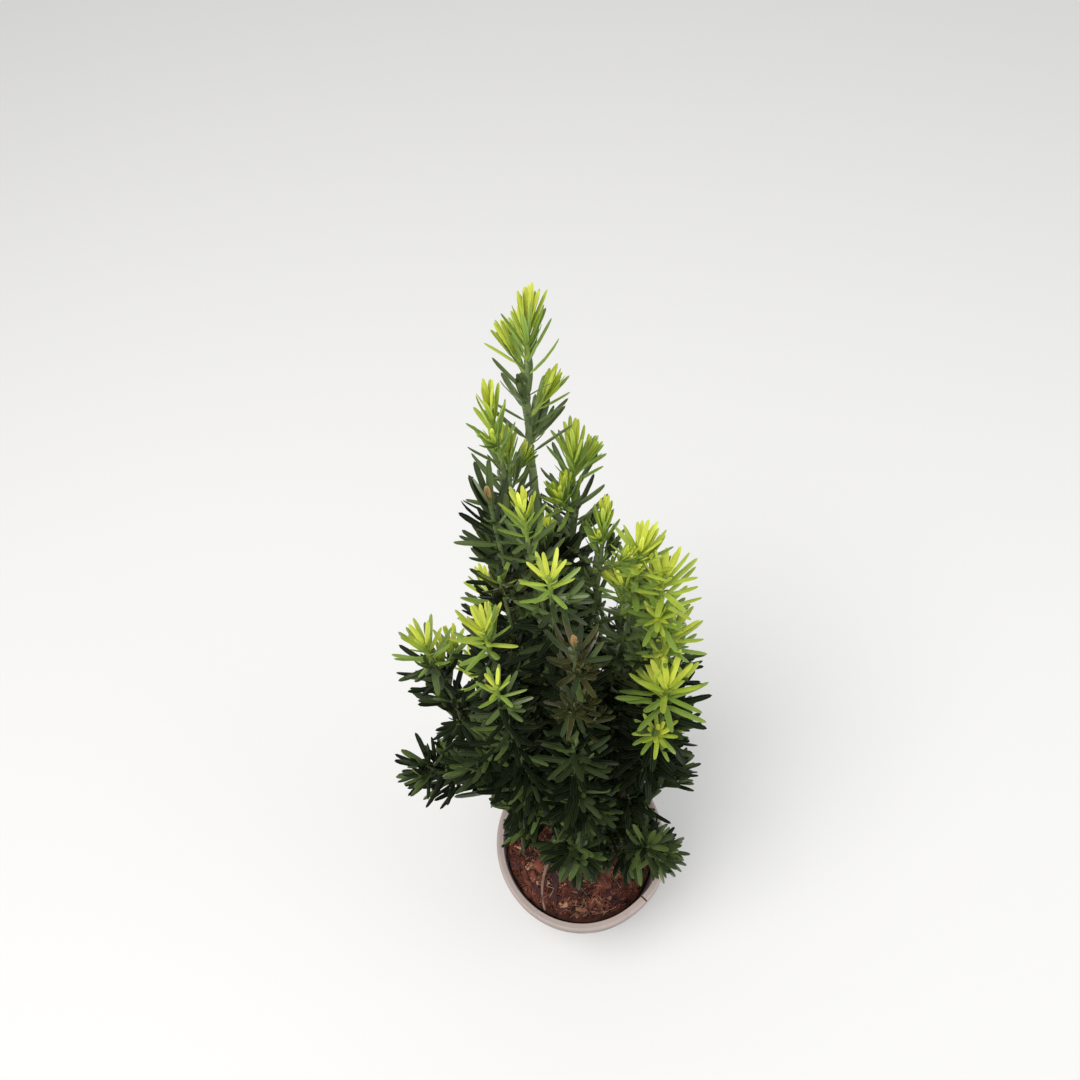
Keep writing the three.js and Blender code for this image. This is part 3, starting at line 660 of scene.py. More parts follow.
def needle_form():
    """Faces, UV by face corner and crisp edges of one needle: rings of left edge, rib, right edge and keel,
    then a tip. Round the needle the UV runs from 0 to 1 over the upper side and from 1 to 2 under it."""
    rings = len(NEEDLE_ALONG) - 1
    tip = 4 * rings
    faces = [(3, 2, 1, 0)]
    uv = [(1.5, 0), (1, 0), (0.5, 0), (0, 0)]
    sharp = []
    for j in range(rings):
        here, beyond = NEEDLE_ALONG[j], NEEDLE_ALONG[j + 1]
        for i in range(4):
            k = (i + 1) % 4
            u = 0.5 * i
            if j + 1 < rings:
                faces.append((4 * j + i, 4 * j + k, 4 * j + 4 + k, 4 * j + 4 + i))
                uv += [(u, here), (u + 0.5, here), (u + 0.5, beyond), (u, beyond)]
            else:
                faces.append((4 * j + i, 4 * j + k, tip))
                uv += [(u, here), (u + 0.5, here), (u + 0.25, beyond)]
        for i in (0, 1, 2):
            sharp.append((4 * j + i, min(4 * j + 4 + i, tip)))
    return faces, np.array(uv), sharp


# Bud scales: their count and size in millimetres on a resting tip and on the few tips with big tan buds
BUD_SCALES = 7
BUD_SIZE = (2.4, 1.6)
BIG_BUD_SCALES = 14
BIG_BUD_SIZE = (6, 3)
BUD_OPEN = (8, 34)
BUD_CLEARANCE = 4
BUD_BEND = -0.5
BIG_BUDDED = ("left_back", "left_inner", "front_bronze")

# A needle: root, heading, the direction its upper side faces, length, width, bend and sideways bend
Needle = namedtuple("Needle", "root heading upper length width bend sickle")


def needle_points(needles, thickness):
    """The points of many needles, in metres, as (needles, corners, 3)."""
    root = np.array([n.root for n in needles])
    heading = np.array([n.heading for n in needles])
    upper = np.array([n.upper for n in needles])
    lateral = np.cross(heading, upper)
    length = np.array([n.length for n in needles])[:, None]
    width = np.array([n.width for n in needles])[:, None]
    bend = np.array([n.bend for n in needles])[:, None]
    sickle = np.array([n.sickle for n in needles])[:, None]
    s = NEEDLE_ALONG[None, :]
    lift = 0.5 * bend * s * s
    swing = 0.5 * sickle * s * s
    centre = (
        root[:, None, :]
        + (length * s * (1 - (bend * s) ** 2 / 6))[:, :, None] * heading[:, None, :]
        + (length * lift)[:, :, None] * upper[:, None, :]
        + (length * swing)[:, :, None] * lateral[:, None, :]
    )
    normal = upper[:, None, :] - (bend * s)[:, :, None] * heading[:, None, :]
    normal /= np.linalg.norm(normal, axis=2, keepdims=True)
    half_wide = (0.5 * width * NEEDLE_WIDE)[:, :, None] * lateral[:, None, :]
    half_thick = (0.5 * thickness * NEEDLE_THICK)[None, :, None] * normal
    rings = np.stack(
        [centre - half_wide, centre + half_thick, centre + half_wide, centre - 0.6 * half_thick], axis=2
    )
    body = rings[:, :-1].reshape(len(needles), -1, 3)
    return MM * np.concatenate([body, centre[:, -1:, :]], axis=1)


# Millimetres of stem from needle to needle: on new growth at its tip and foot, on old shoots low and high
NEW_SPACING = (0.5, 1.05)
OLD_SPACING = (1.0, 2.1)
DARK_SPACING = (1.0, 1.4)
TIP_CROWDING = 0.55
BRUSH_DEPTH = 15
# Degrees that needles stand off a stem: at the very tip, at the foot of the brush, and below it
OPEN_BRUSH = (5, 27, 50)
OPEN_STAR = (22, 72, 70)
NEW_LENGTH = 0.86
NEW_WIDTH = 0.84
NEW_CLEARANCE = 2.3
# The share of a flush that is lime: of a short one and of a long one
LIME_SHARE = (0.48, 0.68)
TOP_WIDTH = 0.8
# How far needles on a lying shoot part to its two sides, and how far their upper sides turn to the light
PARTING = 0.75
UPTURN = 0.6
# How far a needle bends up towards its tip and to either side, in radians
NEW_BEND = (-0.15, 0.3)
OLD_BEND = (-0.1, 0.5)
BRONZE_BEND = (0.3, 0.8)
SICKLE = 0.16
# The first needle's distance from the tip in millimetres, the share of the stem's radius from which a needle
# starts, its tilt either way in degrees and the scatter of its turn
FIRST_NEEDLE = 0.2
NEEDLE_SEAT = 0.75
NEEDLE_TILT = 10
TURN_SCATTER = 5
# The length of the needles at a tip, which are still growing, and how far down they do, in millimetres
GROWING_LENGTH = 0.72
GROWING_DEPTH = 6
# How far a needle keeps from the pot, in millimetres
POT_CLEARANCE = 1.2
# New growth longer than this, in millimetres, is lime for a larger share
LONG_FLUSH = 24
# A bronzed tip and the greener needles below new growth: their depth in millimetres and their share
BRONZE_DEPTH = 24
BRONZE_SHARE = 0.75
GREENER_DEPTH = 14
GREENER_SHARE = 0.35
# The share of a green shoot's needles that are green, set high so that the upper crown reads light, partly
# painted light, and of an inner sprig's that take the near-black painted shade
LEAF_SHARE = 0.8
INNER_SHARE = 0.9
# Old needles are dealt the near-black painted shade more often further down the shoot, deeper inside the
# crown, from and to these depths in millimetres, and more often where the crown is crowded, from and to these
# shares of the plant's height
PAINTED_SHADE_SHARE = (0.4, 0.82)
PAINTED_SHADE_DEPTH = (8, 30)
PAINTED_SHADE_CROWDING = (0.55, 1.05)
CROWDED_FROM = (0.12, 0.3)
CROWDED_TO = (0.6, 0.85)
# Up to this share, in an open and in a crowded crown, they are old ones at least, and the rest are green: the
# open crown gets more green needles, partly as painted light
OLD_SHARE = (0.8, 0.93)
# On a tip the first needles, as deep as this in millimetres, may be green too
GREEN_TIP = 3


def opening(stem, depth):
    """How far a needle stands off its stem, in degrees, by how far down from the tip it grows."""
    tip, near, foot = (mix(a, b, stem.open) for a, b in zip(OPEN_BRUSH, OPEN_STAR))
    brush = BRUSH_DEPTH * mix(1, 0.5, stem.open)
    if depth < brush:
        return mix(tip, near, depth / brush)
    return mix(near, foot, smooth(brush, 2 * brush, depth))


def shade_of(stem, depth, height, chance):
    """The name of a needle's colour by its spray, its depth below the tip and its height on the plant;
    needles inside the crown are dealt a near-black painted shade.
    """
    if depth < stem.flush:
        new = depth / stem.flush + 0.3 * (chance - 0.5)
        lime_share = LIME_SHARE[stem.flush > LONG_FLUSH]
        return "bright" if new < 0.2 else ("lime" if new < lime_share else "fresh")
    if stem.shade == "bronze" and depth < BRONZE_DEPTH:
        return "bronze" if chance < BRONZE_SHARE else "dark"
    if stem.shade == "leaf":
        if stem.flush and depth < stem.flush + GREENER_DEPTH:
            return "fresh" if chance < GREENER_SHARE else "leaf"
        return "leaf" if chance < LEAF_SHARE else "dark"
    # Inner sprigs are mostly the near-black painted shade
    if stem.shade == "inner":
        return "inner" if chance < INNER_SHARE else "dark"
    if depth < GREEN_TIP and chance < mix(0.3, 1, height):
        return "leaf"
    # Painted shade: the near-black share grows down the shoot and where the crown is crowded; more green
    # where it is open is partly painted light
    crowded = smooth(*CROWDED_FROM, height) * (1 - smooth(*CROWDED_TO, height))
    shaded_share = mix(*PAINTED_SHADE_SHARE, smooth(*PAINTED_SHADE_DEPTH, depth)) * mix(*PAINTED_SHADE_CROWDING, crowded)
    return "deep" if chance < shaded_share else ("dark" if chance < mix(*OLD_SHARE, crowded) else "leaf")


def needle_length(stem, depth, height, is_new, plant):
    """The length of a needle in millimetres: those at a tip are still growing."""
    full = mix(plant.needle_low, plant.needle_top, height) / MM
    growing = mix(GROWING_LENGTH, 1, min(depth / GROWING_DEPTH, 1))
    near_tip = 1 - smooth(BRUSH_DEPTH, 2 * BRUSH_DEPTH, depth)
    return full * growing * mix(1, stem.size, near_tip) * (NEW_LENGTH if is_new else 1)


def needle_directions(place, angle, off, tilt):
    """A needle's heading and the way its upper side faces: the flatter a shoot lies, the more its needles
    part to its two sides, and they all turn their upper sides to the light."""
    up = Vector((0, 0, 1))
    lying = 1 - abs(place.along.z)
    out = place.out(angle)
    parted = (out - PARTING * lying * out.dot(up) * up).normalized()
    heading = (math.cos(off) * place.along + math.sin(off) * parted).normalized()
    light = place.along.lerp(up, UPTURN)
    upper = (light - light.dot(heading) * heading).normalized()
    return heading, (math.cos(tilt) * upper + math.sin(tilt) * heading.cross(upper)).normalized()


def needle_step(stem, depth, height, is_new):
    """The stretch of stem from one needle to the next, in millimetres."""
    if is_new:
        return mix(*NEW_SPACING, min(depth / BRUSH_DEPTH, 1))
    spacing = OLD_SPACING if stem.shade == "leaf" else DARK_SPACING
    return mix(*spacing, height**1.3) * mix(TIP_CROWDING, 1, min(depth / BRUSH_DEPTH, 1))


def height_share(place):
    """How high a place is above the soil, as a share of the plant's height."""
    return (place.point.z - SOIL_TOP) / (LEADER_TIP.z - SOIL_TOP)


def grow_needles(stems, plant):
    """Every needle by the name of its colour."""
    by_shade = {}
    new_places = []
    for stem in stems:
        draws = Draws(stem.seed)
        length = stem.line.length(stem.start)
        depth = BUD_CLEARANCE if stem.kind == "budded" else FIRST_NEEDLE
        turn = draws.next() * 360
        while depth < length - stem.foot:
            t = 1 - (1 - stem.start) * depth / length
            place = stem.line.frame(t)
            height = height_share(place)
            is_new = depth < stem.flush
            long = needle_length(stem, depth, height, is_new, plant) * draws.spread(0.1)
            angle = math.radians(turn)
            off = math.radians(opening(stem, depth) * draws.spread(0.1))
            tilt = math.radians(draws.between(-NEEDLE_TILT, NEEDLE_TILT))
            heading, upper = needle_directions(place, angle, off, tilt)
            radius = mix(stem.root, stem.tip, (t - stem.start) / (1 - stem.start))
            root = place.point + NEEDLE_SEAT * radius * place.out(angle)
            old_bend = BRONZE_BEND if stem.shade == "bronze" else OLD_BEND
            bend = draws.between(*(NEW_BEND if is_new else old_bend))
            sickle = draws.between(-SICKLE, SICKLE)
            width = plant.needle_width / MM * draws.spread(0.08) * mix(1, TOP_WIDTH, height**2)
            width *= mix(1, stem.size, 0.6) * (NEW_WIDTH if is_new else 1)
            needle = Needle(root, heading, upper, long, width, bend, sickle)
            shade = shade_of(stem, depth, height, draws.next())
            tip = root + long * heading
            if rod_is_clear_of_pot(root, tip, POT_CLEARANCE) and not in_window(root, tip):
                by_shade.setdefault(shade, []).append(needle)
                if is_new:
                    new_places.extend(root.lerp(tip, share) for share in (0.2, 0.4, 0.6, 0.8, 1))
            turn += GOLDEN_ANGLE + draws.between(-TURN_SCATTER, TURN_SCATTER)
            depth += needle_step(stem, depth, height, is_new) * draws.spread(0.15)
    keep_out_of_new(by_shade, new_places)
    return by_shade


def keep_out_of_new(by_shade, new_places):
    """Drops the old needles whose outer halves would pass through new ones."""
    tree = KDTree(len(new_places))
    for number, place in enumerate(new_places):
        tree.insert(place, number)
    tree.balance()
    for shade in ("leaf", "dark", "deep", "inner", "bronze"):
        kept = []
        for needle in by_shade.get(shade, []):
            outer = (needle.root + share * needle.length * needle.heading for share in (0.55, 0.7, 0.85, 1))
            if all(tree.find(place)[2] > NEW_CLEARANCE for place in outer):
                kept.append(needle)
        by_shade[shade] = kept


# Millimetres from sprig to sprig, and their length, low and high on the plant
SPRIG_SPACING = (11, 22)
SPRIG_LENGTH = (15, 10)
SPRIG_LEAN = 50
SPRIG_FIRST = 15
SPRIG_BARE_FOOT = 10
SPRIG_NEEDLES = 0.85
SPRIG_FLUSH = 10
SPRIG_NEW_REACH = 8
SPRIG_UPRIGHT = 0.3
# Sprigs of old shoots take the inner shade, a near-black painted shade for the crown's inside, further than
# this from the tip, in millimetres, and above this share of the plant's height
SHADED_DEPTH = 60
SHADED_HEIGHT = 0.3


def in_photo(place):
    """Where a place on the plant, in millimetres, falls in the photograph, in its pixels."""
    right, up, ahead = camera_directions()
    from_camera = MM * place - CAMERA_PLACE
    scale = PHOTO_SIDE * CAMERA_LENS / SENSOR / from_camera.dot(ahead)
    return PHOTO_SIDE / 2 + scale * from_camera.dot(right), PHOTO_SIDE / 2 - scale * from_camera.dot(up)


def in_window(root, tip):
    """Whether a needle would cover a place that is open in the photograph."""
    for share in (0.35, 0.7, 1):
        x, y = in_photo(root.lerp(tip, share))
        if any(((x - w.x) / w.wide) ** 2 + ((y - w.y) / w.high) ** 2 < 1 for w in WINDOWS):
            return True
    return False


def grow_buds(stems, by_shade):
    """Adds the scales round every resting bud."""
    for stem in stems:
        if stem.flush or stem.kind == "inner":
            continue
        draws = Draws(stem.seed + 9000)
        place = stem.line.frame(1)
        big = stem.kind == "budded"
        long, wide = BIG_BUD_SIZE if big else BUD_SIZE
        count = BIG_BUD_SCALES if big else BUD_SCALES
        for i in range(count):
            share = i / (count - 1)
            angle = math.radians(i * GOLDEN_ANGLE)
            off = math.radians(mix(*BUD_OPEN, share) * draws.spread(0.2))
            heading = math.cos(off) * place.along + math.sin(off) * place.out(angle)
            upper = (place.along.dot(heading) * heading - place.along).normalized()
            root = place.point - share * 0.4 * long * place.along + 0.3 * stem.tip * place.out(angle)
            scale = Needle(root, heading, upper, long * mix(1, 0.7, share), wide, BUD_BEND, 0)
            by_shade.setdefault("bud" if big else "leaf", []).append(scale)


def grow_sprigs(stems):
    """Finer side sprigs on every shoot and twig, by the same rule as the twigs."""
    sprigs = []
    for number, stem in enumerate(stems):
        draws = Draws(stem.seed + 1000 + number)
        length = stem.line.length(stem.start)
        depth = SPRIG_FIRST * draws.between(0.9, 1.3)
        turn = draws.next() * 360
        while depth < length - SPRIG_BARE_FOOT:
            t = 1 - (1 - stem.start) * depth / length
            place = stem.line.frame(t)
            height = height_share(place)
            size = mix(*SPRIG_LENGTH, height) * draws.spread(0.25)
            sprig = side_line(place, math.radians(turn), size, SPRIG_LEAN)
            upright = place.along.z > SPRIG_UPRIGHT
            if upright and rod_is_clear_of_pot(sprig.point(0.5), sprig.end, TWIG_POT_CLEARANCE):
                new = stem.flush > SPRIG_FIRST and depth < stem.flush + SPRIG_NEW_REACH
                # Sprigs deep inside the crown take the inner shade: painted shade
                shaded = stem.shade == "dark" and depth > SHADED_DEPTH and height > SHADED_HEIGHT
                shade = "inner" if shaded else stem.shade
                looks = (SPRIG_FLUSH if new else 0, shade, stem.open, stem.size * SPRIG_NEEDLES)
                sprigs.append(Stem(sprig, 0, *SPRIG_SIZES, *looks, "sprig", stem.seed + 3000 + number))
            turn += GOLDEN_ANGLE + draws.between(-20, 20)
            depth += mix(*SPRIG_SPACING, height) * draws.spread(0.2)
    return sprigs


# Inner sprigs: millimetres from one to the next, their length, and where on trunk and boughs they stand
INNER_SPACING = 11
# Inner sprigs are dealt the inner shade, a near-black painted shade inside the crown
INNER_LOOKS = (0, "inner", 0.6, 0.85)
INNER_POT_CLEARANCE = 7
INNER_TRUNK_SEED = 11
CLOSER_ON_TRUNK = 0.8
INNER_LENGTH = 21
INNER_LEAN = 62
INNER_ON_TRUNK = (0.22, 0.92)
INNER_ON_BOUGH = (0.35, 0.95)


def grow_inner_sprigs(boughs):
    """Short sprigs on the trunk and the boughs, painted near-black as shade, which fill the crown from
    inside.
    """
    limbs = [(TRUNK, *INNER_ON_TRUNK, INNER_TRUNK_SEED)]
    limbs += [(line, INNER_ON_BOUGH[0] * tip, INNER_ON_BOUGH[1] * tip, seed) for line, tip, _, seed in boughs]
    sprigs = []
    for line, first, last, seed in limbs:
        draws = Draws(seed + 5000)
        turn = draws.next() * 360
        step = INNER_SPACING / line.length(0) * (CLOSER_ON_TRUNK if line is TRUNK else 1)
        t = first
        while t < last:
            size = INNER_LENGTH * draws.spread(0.25)
            sprig = side_line(line.frame(t), math.radians(turn), size, INNER_LEAN)
            if rod_is_clear_of_pot(sprig.point(0.4), sprig.end, INNER_POT_CLEARANCE):
                own_seed = seed + 6000 + int(999 * t)
                sprigs.append(Stem(sprig, 0, *INNER_SIZES, *INNER_LOOKS, "inner", own_seed))
            turn += GOLDEN_ANGLE
            t += step * draws.spread(0.2)
    return sprigs


_grown = {}


def plant_growth():
    """The plant is grown once, and every operator reads the same growth."""
    if not _grown:
        boughs, stems = grow_plant()
        _grown["boughs"] = boughs
        _grown["stems"] = stems + grow_sprigs(stems) + grow_inner_sprigs(boughs)
    return _grown["boughs"], _grown["stems"]


# Node helpers


def feed(tree, socket, value):
    """Links a socket to another one, or sets it to a plain value."""
    if isinstance(value, bpy.types.NodeSocket):
        tree.links.new(value, socket)
    elif socket.type == "RGBA":
        socket.default_value = (*value[:3], 1)
    else:
        socket.default_value = value


def node(tree, kind, inputs=(), **settings):
    """A new node with its settings. inputs gives sockets or plain values by an input's name or number."""
    made = tree.nodes.new(kind)
    for key, value in settings.items():
        setattr(made, key, value)
    for key, value in dict(inputs).items():
        feed(tree, made.inputs[key], value)
    return made


def new_group(kind, name, inputs, outputs):
    """A node group with its named sockets and its two end nodes."""
    group = bpy.data.node_groups.new(name, kind)
    for socket_name, socket_kind, default in inputs:
        socket = group.interface.new_socket(socket_name, in_out="INPUT", socket_type=socket_kind)
        if default is not None:
            socket.default_value = default
    for socket_name, socket_kind in outputs:
        group.interface.new_socket(socket_name, in_out="OUTPUT", socket_type=socket_kind)
    return group, group.nodes.new("NodeGroupInput"), group.nodes.new("NodeGroupOutput")


def noise_node(tree, vector, scale, detail):
    inputs = {"Vector": vector, "Scale": scale, "Detail": detail}
    return node(tree, "ShaderNodeTexNoise", inputs).outputs["Fac"]


def ranged(tree, value, low, high, to_low=0.0, to_high=1.0):
    """A smooth rise from one number to another while a value goes from low to high."""
    inputs = {"Value": value, "From Min": low, "From Max": high, "To Min": to_low, "To Max": to_high}
    return node(tree, "ShaderNodeMapRange", inputs, interpolation_type="SMOOTHSTEP").outputs["Result"]


def mixed(tree, share, first, second, blend="MIX"):
    """A mix of two colours."""
    inputs = {0: share, 6: first, 7: second}
    return node(tree, "ShaderNodeMix", inputs, data_type="RGBA", blend_type=blend).outputs[2]


def maths(tree, operation, first, second=0.0):
    return node(tree, "ShaderNodeMath", {0: first, 1: second}, operation=operation).outputs[0]


def times(tree, first, second):
    return maths(tree, "MULTIPLY", first, second)


def combined(tree, x, y, z):
    return node(tree, "ShaderNodeCombineXYZ", {0: x, 1: y, 2: z}).outputs[0]


def parts_of(tree, vector):
    return node(tree, "ShaderNodeSeparateXYZ", {0: vector}).outputs


def object_coordinates(tree):
    return node(tree, "ShaderNodeTexCoord").outputs["Object"]


def new_material(name, roughness, specular):
    material = bpy.data.materials.new(name)
    material.use_nodes = True
    shader = material.node_tree.nodes["Principled BSDF"]
    shader.inputs["Roughness"].default_value = roughness
    shader.inputs["Specular IOR Level"].default_value = specular
    return material, material.node_tree, shader


def bumped(tree, shader, height, distance, strength=1.0):
    inputs = {"Height": height, "Distance": distance, "Strength": strength}
    tree.links.new(node(tree, "ShaderNodeBump", inputs).outputs["Normal"], shader.inputs["Normal"])


def toned(colour, factor):
    """A colour made lighter or darker."""
    return tuple(factor * c for c in colour[:3])


# Shader groups

MOTTLE_INPUTS = [
    ("Vector", "NodeSocketVector", (0, 0, 0)),
    ("Colour", "NodeSocketColor", (0.5, 0.5, 0.5, 1)),
    ("Drift", "NodeSocketColor", (0.4, 0.4, 0.4, 1)),
    ("Scale", "NodeSocketFloat", 60.0),
    ("Amount", "NodeSocketFloat", 0.5),
]


def mottle_group():
    """Uneven colour: one colour drifts to another by a noise, whose height is given too."""
    name = "mottle"
    if name in bpy.data.node_groups:
        return bpy.data.node_groups[name]
    outputs = [("Colour", "NodeSocketColor"), ("Height", "NodeSocketFloat")]
    group, start, end = new_group("ShaderNodeTree", name, MOTTLE_INPUTS, outputs)
    given = start.outputs
    coarse = noise_node(group, given["Vector"], given["Scale"], 4)
    share = times(group, ranged(group, coarse, 0.35, 0.7), given["Amount"])
    group.links.new(mixed(group, share, given["Colour"], given["Drift"]), end.inputs["Colour"])
    group.links.new(coarse, end.inputs["Height"])
    return group


def mottled(tree, *values):
    """The outputs of the mottle group, placed with values for its inputs in their order."""
    inputs = {name: value for (name, _, _), value in zip(MOTTLE_INPUTS, values)}
    made = node(tree, "ShaderNodeGroup", node_tree=mottle_group())
    for key, value in inputs.items():
        feed(tree, made.inputs[key], value)
    return made.outputs


# Materials

# The two pale bands under a needle: how much lighter and greyer they are
UNDERSIDE_PALER = 1.5
UNDERSIDE_WAX = (0.026, 0.034, 0.018)
# Painted shade: how much darker the pot is painted below the top of its rim, where the rounded outer edge and
# skirt turn from the light, and the heights between which it lightens, in metres
SKIRT_PAINTED_SHADE = (0.70, 0.73, 0.77)
SKIRT_SHADE_FADE = (0.0970, 0.0999)
# The bark's noise is drawn out up the trunk, and the bark turns green between two heights, in metres
BARK_STRETCH = (1, 1, 0.22)
GREEN_BARK = (0.22, 0.33)


def needle_material(name, colour, edge, rib, roughness, specular):
    """Waxy blade: pale at its stalk and rib, pale at its margin partly by its own colour and partly as a
    painted highlight, darker towards its tip, with two pale bands underneath.
    """
    material, tree, shader = new_material(name, roughness, specular)
    blade = node(tree, "ShaderNodeUVMap", uv_map="blade").outputs["UV"]
    around, along, _ = parts_of(tree, blade)
    body = mottled(tree, object_coordinates(tree), colour, toned(colour, 0.7), 90.0, 0.6)
    aged = mixed(tree, ranged(tree, along, 0.3, 0.95, 0.0, 0.5), body["Colour"], toned(colour, 0.62))
    from_rib = maths(tree, "ABSOLUTE", maths(tree, "SUBTRACT", maths(tree, "FRACT", around), 0.5))
    # Pale margin: partly the needle's own paler edge, partly a painted highlight along it
    rim = times(tree, ranged(tree, from_rib, 0.36, 0.5), 0.65)
    ridge = times(tree, ranged(tree, from_rib, 0.09, 0.03), rib)
    stalk = ranged(tree, along, 0.16, 0.0)
    pale = maths(tree, "MAXIMUM", maths(tree, "MAXIMUM", rim, ridge), stalk)
    upper = mixed(tree, pale, aged, edge)
    bands = times(tree, ranged(tree, from_rib, 0.1, 0.2), ranged(tree, from_rib, 0.46, 0.38))
    wax = tuple(UNDERSIDE_PALER * c + grey for c, grey in zip(colour, UNDERSIDE_WAX))
    under = mixed(tree, bands, toned(colour, 1.25), wax)
    below = maths(tree, "GREATER_THAN", around, 1.0)
    tree.links.new(mixed(tree, below, upper, under), shader.inputs["Base Color"])
    return material


def stem_material(name, colour, drift):
    material, tree, shader = new_material(name, 0.55, 0.35)
    body = mottled(tree, object_coordinates(tree), colour, drift, 160.0, 0.8)
    tree.links.new(body["Colour"], shader.inputs["Base Color"])
    bumped(tree, shader, body["Height"], 0.0002, 0.5)
    return material


def bark_material(colours):
    """Thin scaly bark, brown at the foot and green where the trunk is young."""
    material, tree, shader = new_material("bark", 0.85, 0.25)
    place = object_coordinates(tree)
    stretched = node(tree, "ShaderNodeMapping", {"Vector": place, "Scale": BARK_STRETCH}).outputs["Vector"]
    body = mottled(tree, stretched, colours.bark, toned(colours.bark, 0.32), 420.0, 1.0)
    young = ranged(tree, parts_of(tree, place)["Z"], *GREEN_BARK)
    colour = mixed(tree, young, body["Colour"], colours.green_stem)
    tree.links.new(colour, shader.inputs["Base Color"])
    bumped(tree, shader, body["Height"], 0.0006)
    return material


def plastic_material(pot):
    """Matt taupe plastic, faintly uneven, with painted shade below the top of the rim so that the top reads
    paler, and dried soil specks near it.
    """
    material, tree, shader = new_material("nursery_plastic", 0.5, 0.4)
    place = object_coordinates(tree)
    body = mottled(tree, place, pot.colour, toned(pot.colour, 0.84), 38.0, 0.8)["Colour"]
    height = parts_of(tree, place)["Z"]
    specks = ranged(tree, noise_node(tree, place, 900, 2), 0.62, 0.72)
    patches = ranged(tree, noise_node(tree, place, 55, 3), 0.45, 0.6)
    dirt = times(tree, times(tree, specks, patches), ranged(tree, height, 0.04, 0.1, 0.15, 0.8))
    # Painted shade on the rim's outer edge and skirt, fading out towards the top of the rim
    shaded_skirt = mixed(tree, 1.0, body, SKIRT_PAINTED_SHADE, "MULTIPLY")
    shade_to_top = mixed(tree, ranged(tree, height, *SKIRT_SHADE_FADE), shaded_skirt, body)
    tree.links.new(mixed(tree, dirt, shade_to_top, pot.dust), shader.inputs["Base Color"])
    rough = ranged(tree, noise_node(tree, place, 120, 4), 0.3, 0.7, 0.42, 0.62)
    tree.links.new(rough, shader.inputs["Roughness"])
    bumped(tree, shader, noise_node(tree, place, 1500, 2), 0.00008, 0.35)
    return material


def litter_material(name, colour, drift, scale):
    """Bark, wood or straw, drifting to a second colour from piece to piece, with a fibrous grain."""
    material, tree, shader = new_material(name, 0.9, 0.2)
    place = object_coordinates(tree)
    body = mottled(tree, place, colour, drift, scale, 1.0)
    fine = noise_node(tree, place, 2400, 3)
    worn = mixed(tree, ranged(tree, fine, 0.35, 0.65, 0.0, 0.5), body["Colour"], toned(colour, 0.4))
    damp = ranged(tree, noise_node(tree, place, 48, 2), 0.45, 0.62, 0.0, 0.65)
    tree.links.new(mixed(tree, damp, worn, toned(drift, 0.4)), shader.inputs["Base Color"])
    bumped(tree, shader, fine, 0.0003, 0.8)
    return material


# The pot

# Its section, in millimetres: wall, foot, skirt and flange, and the small step at a crease
POT_WALL = 1.4
POT_FOOT_ROUND = 1.6
SKIRT_DEPTH = 11
SKIRT_WALL = 1.5
SKIRT_EDGE = 0.5
FLANGE_THICKNESS = 1.6
CREASE = 0.3
# Its underside from the middle out, as radius and height: a recess, the flat and a groove
POT_UNDERSIDE = [(0, 0.9), (9, 0.9), (10, 0), (26, 0), (26.8, 0.5), (27.8, 0.5), (28.6, 0), (44, 0)]
OUTER_WALL_HEIGHTS = (12, 30, 50, 70, 84)
INNER_WALL_HEIGHTS = (90, 70, 50, 30, 10)
INNER_BASE_RADIUS = POT_BASE_RADIUS - POT_WALL
INNER_SLOPE = (POT_INNER_RADIUS - INNER_BASE_RADIUS) / (POT_HEIGHT - POT_FLOOR)
# Drain holes: their count, how far out they stand, their radius and corners, and the heights of the cut
DRAIN_HOLES = 6
DRAIN_RING = 33
DRAIN_RADIUS = 4.2
DRAIN_CORNERS = 24
DRAIN_CUT = (-3, 6)
# Edges sharper than this, in degrees, stay crisp on the pot
POT_CRISP = 40
# The soft rim is pushed out in one place and in beside it: heading, width in degrees and millimetres. It
# starts at a height of the wall and grows from a radius of the floor, in millimetres.
RIM_BULGE = (-38.5, 13, 1.7)
RIM_DENT = (8, 26, -1.2)
BULGE_HEIGHT = 55
BULGE_RADIUS = 20
# The nick across the rim: its heading from the pot's middle and its size
NICK_HEADING = -50.7
NICK_HALF_WIDTH = 0.6
NICK_DEPTH = 1.1
NICK_CLEAR = 2
NICK_REACH = 5


def inner(height):
    """The radius of the inside of the pot's wall at a height, in millimetres."""
    return INNER_BASE_RADIUS + INNER_SLOPE * (height - POT_FLOOR)


def arc(centre_r, centre_z, radius, first, last, steps=5):
    """A stretch of a round in the pot's section, between two angles in degrees."""
    angles = [math.radians(mix(first, last, i / steps)) for i in range(steps + 1)]
    return [(centre_r + radius * math.cos(a), centre_z + radius * math.sin(a)) for a in angles]


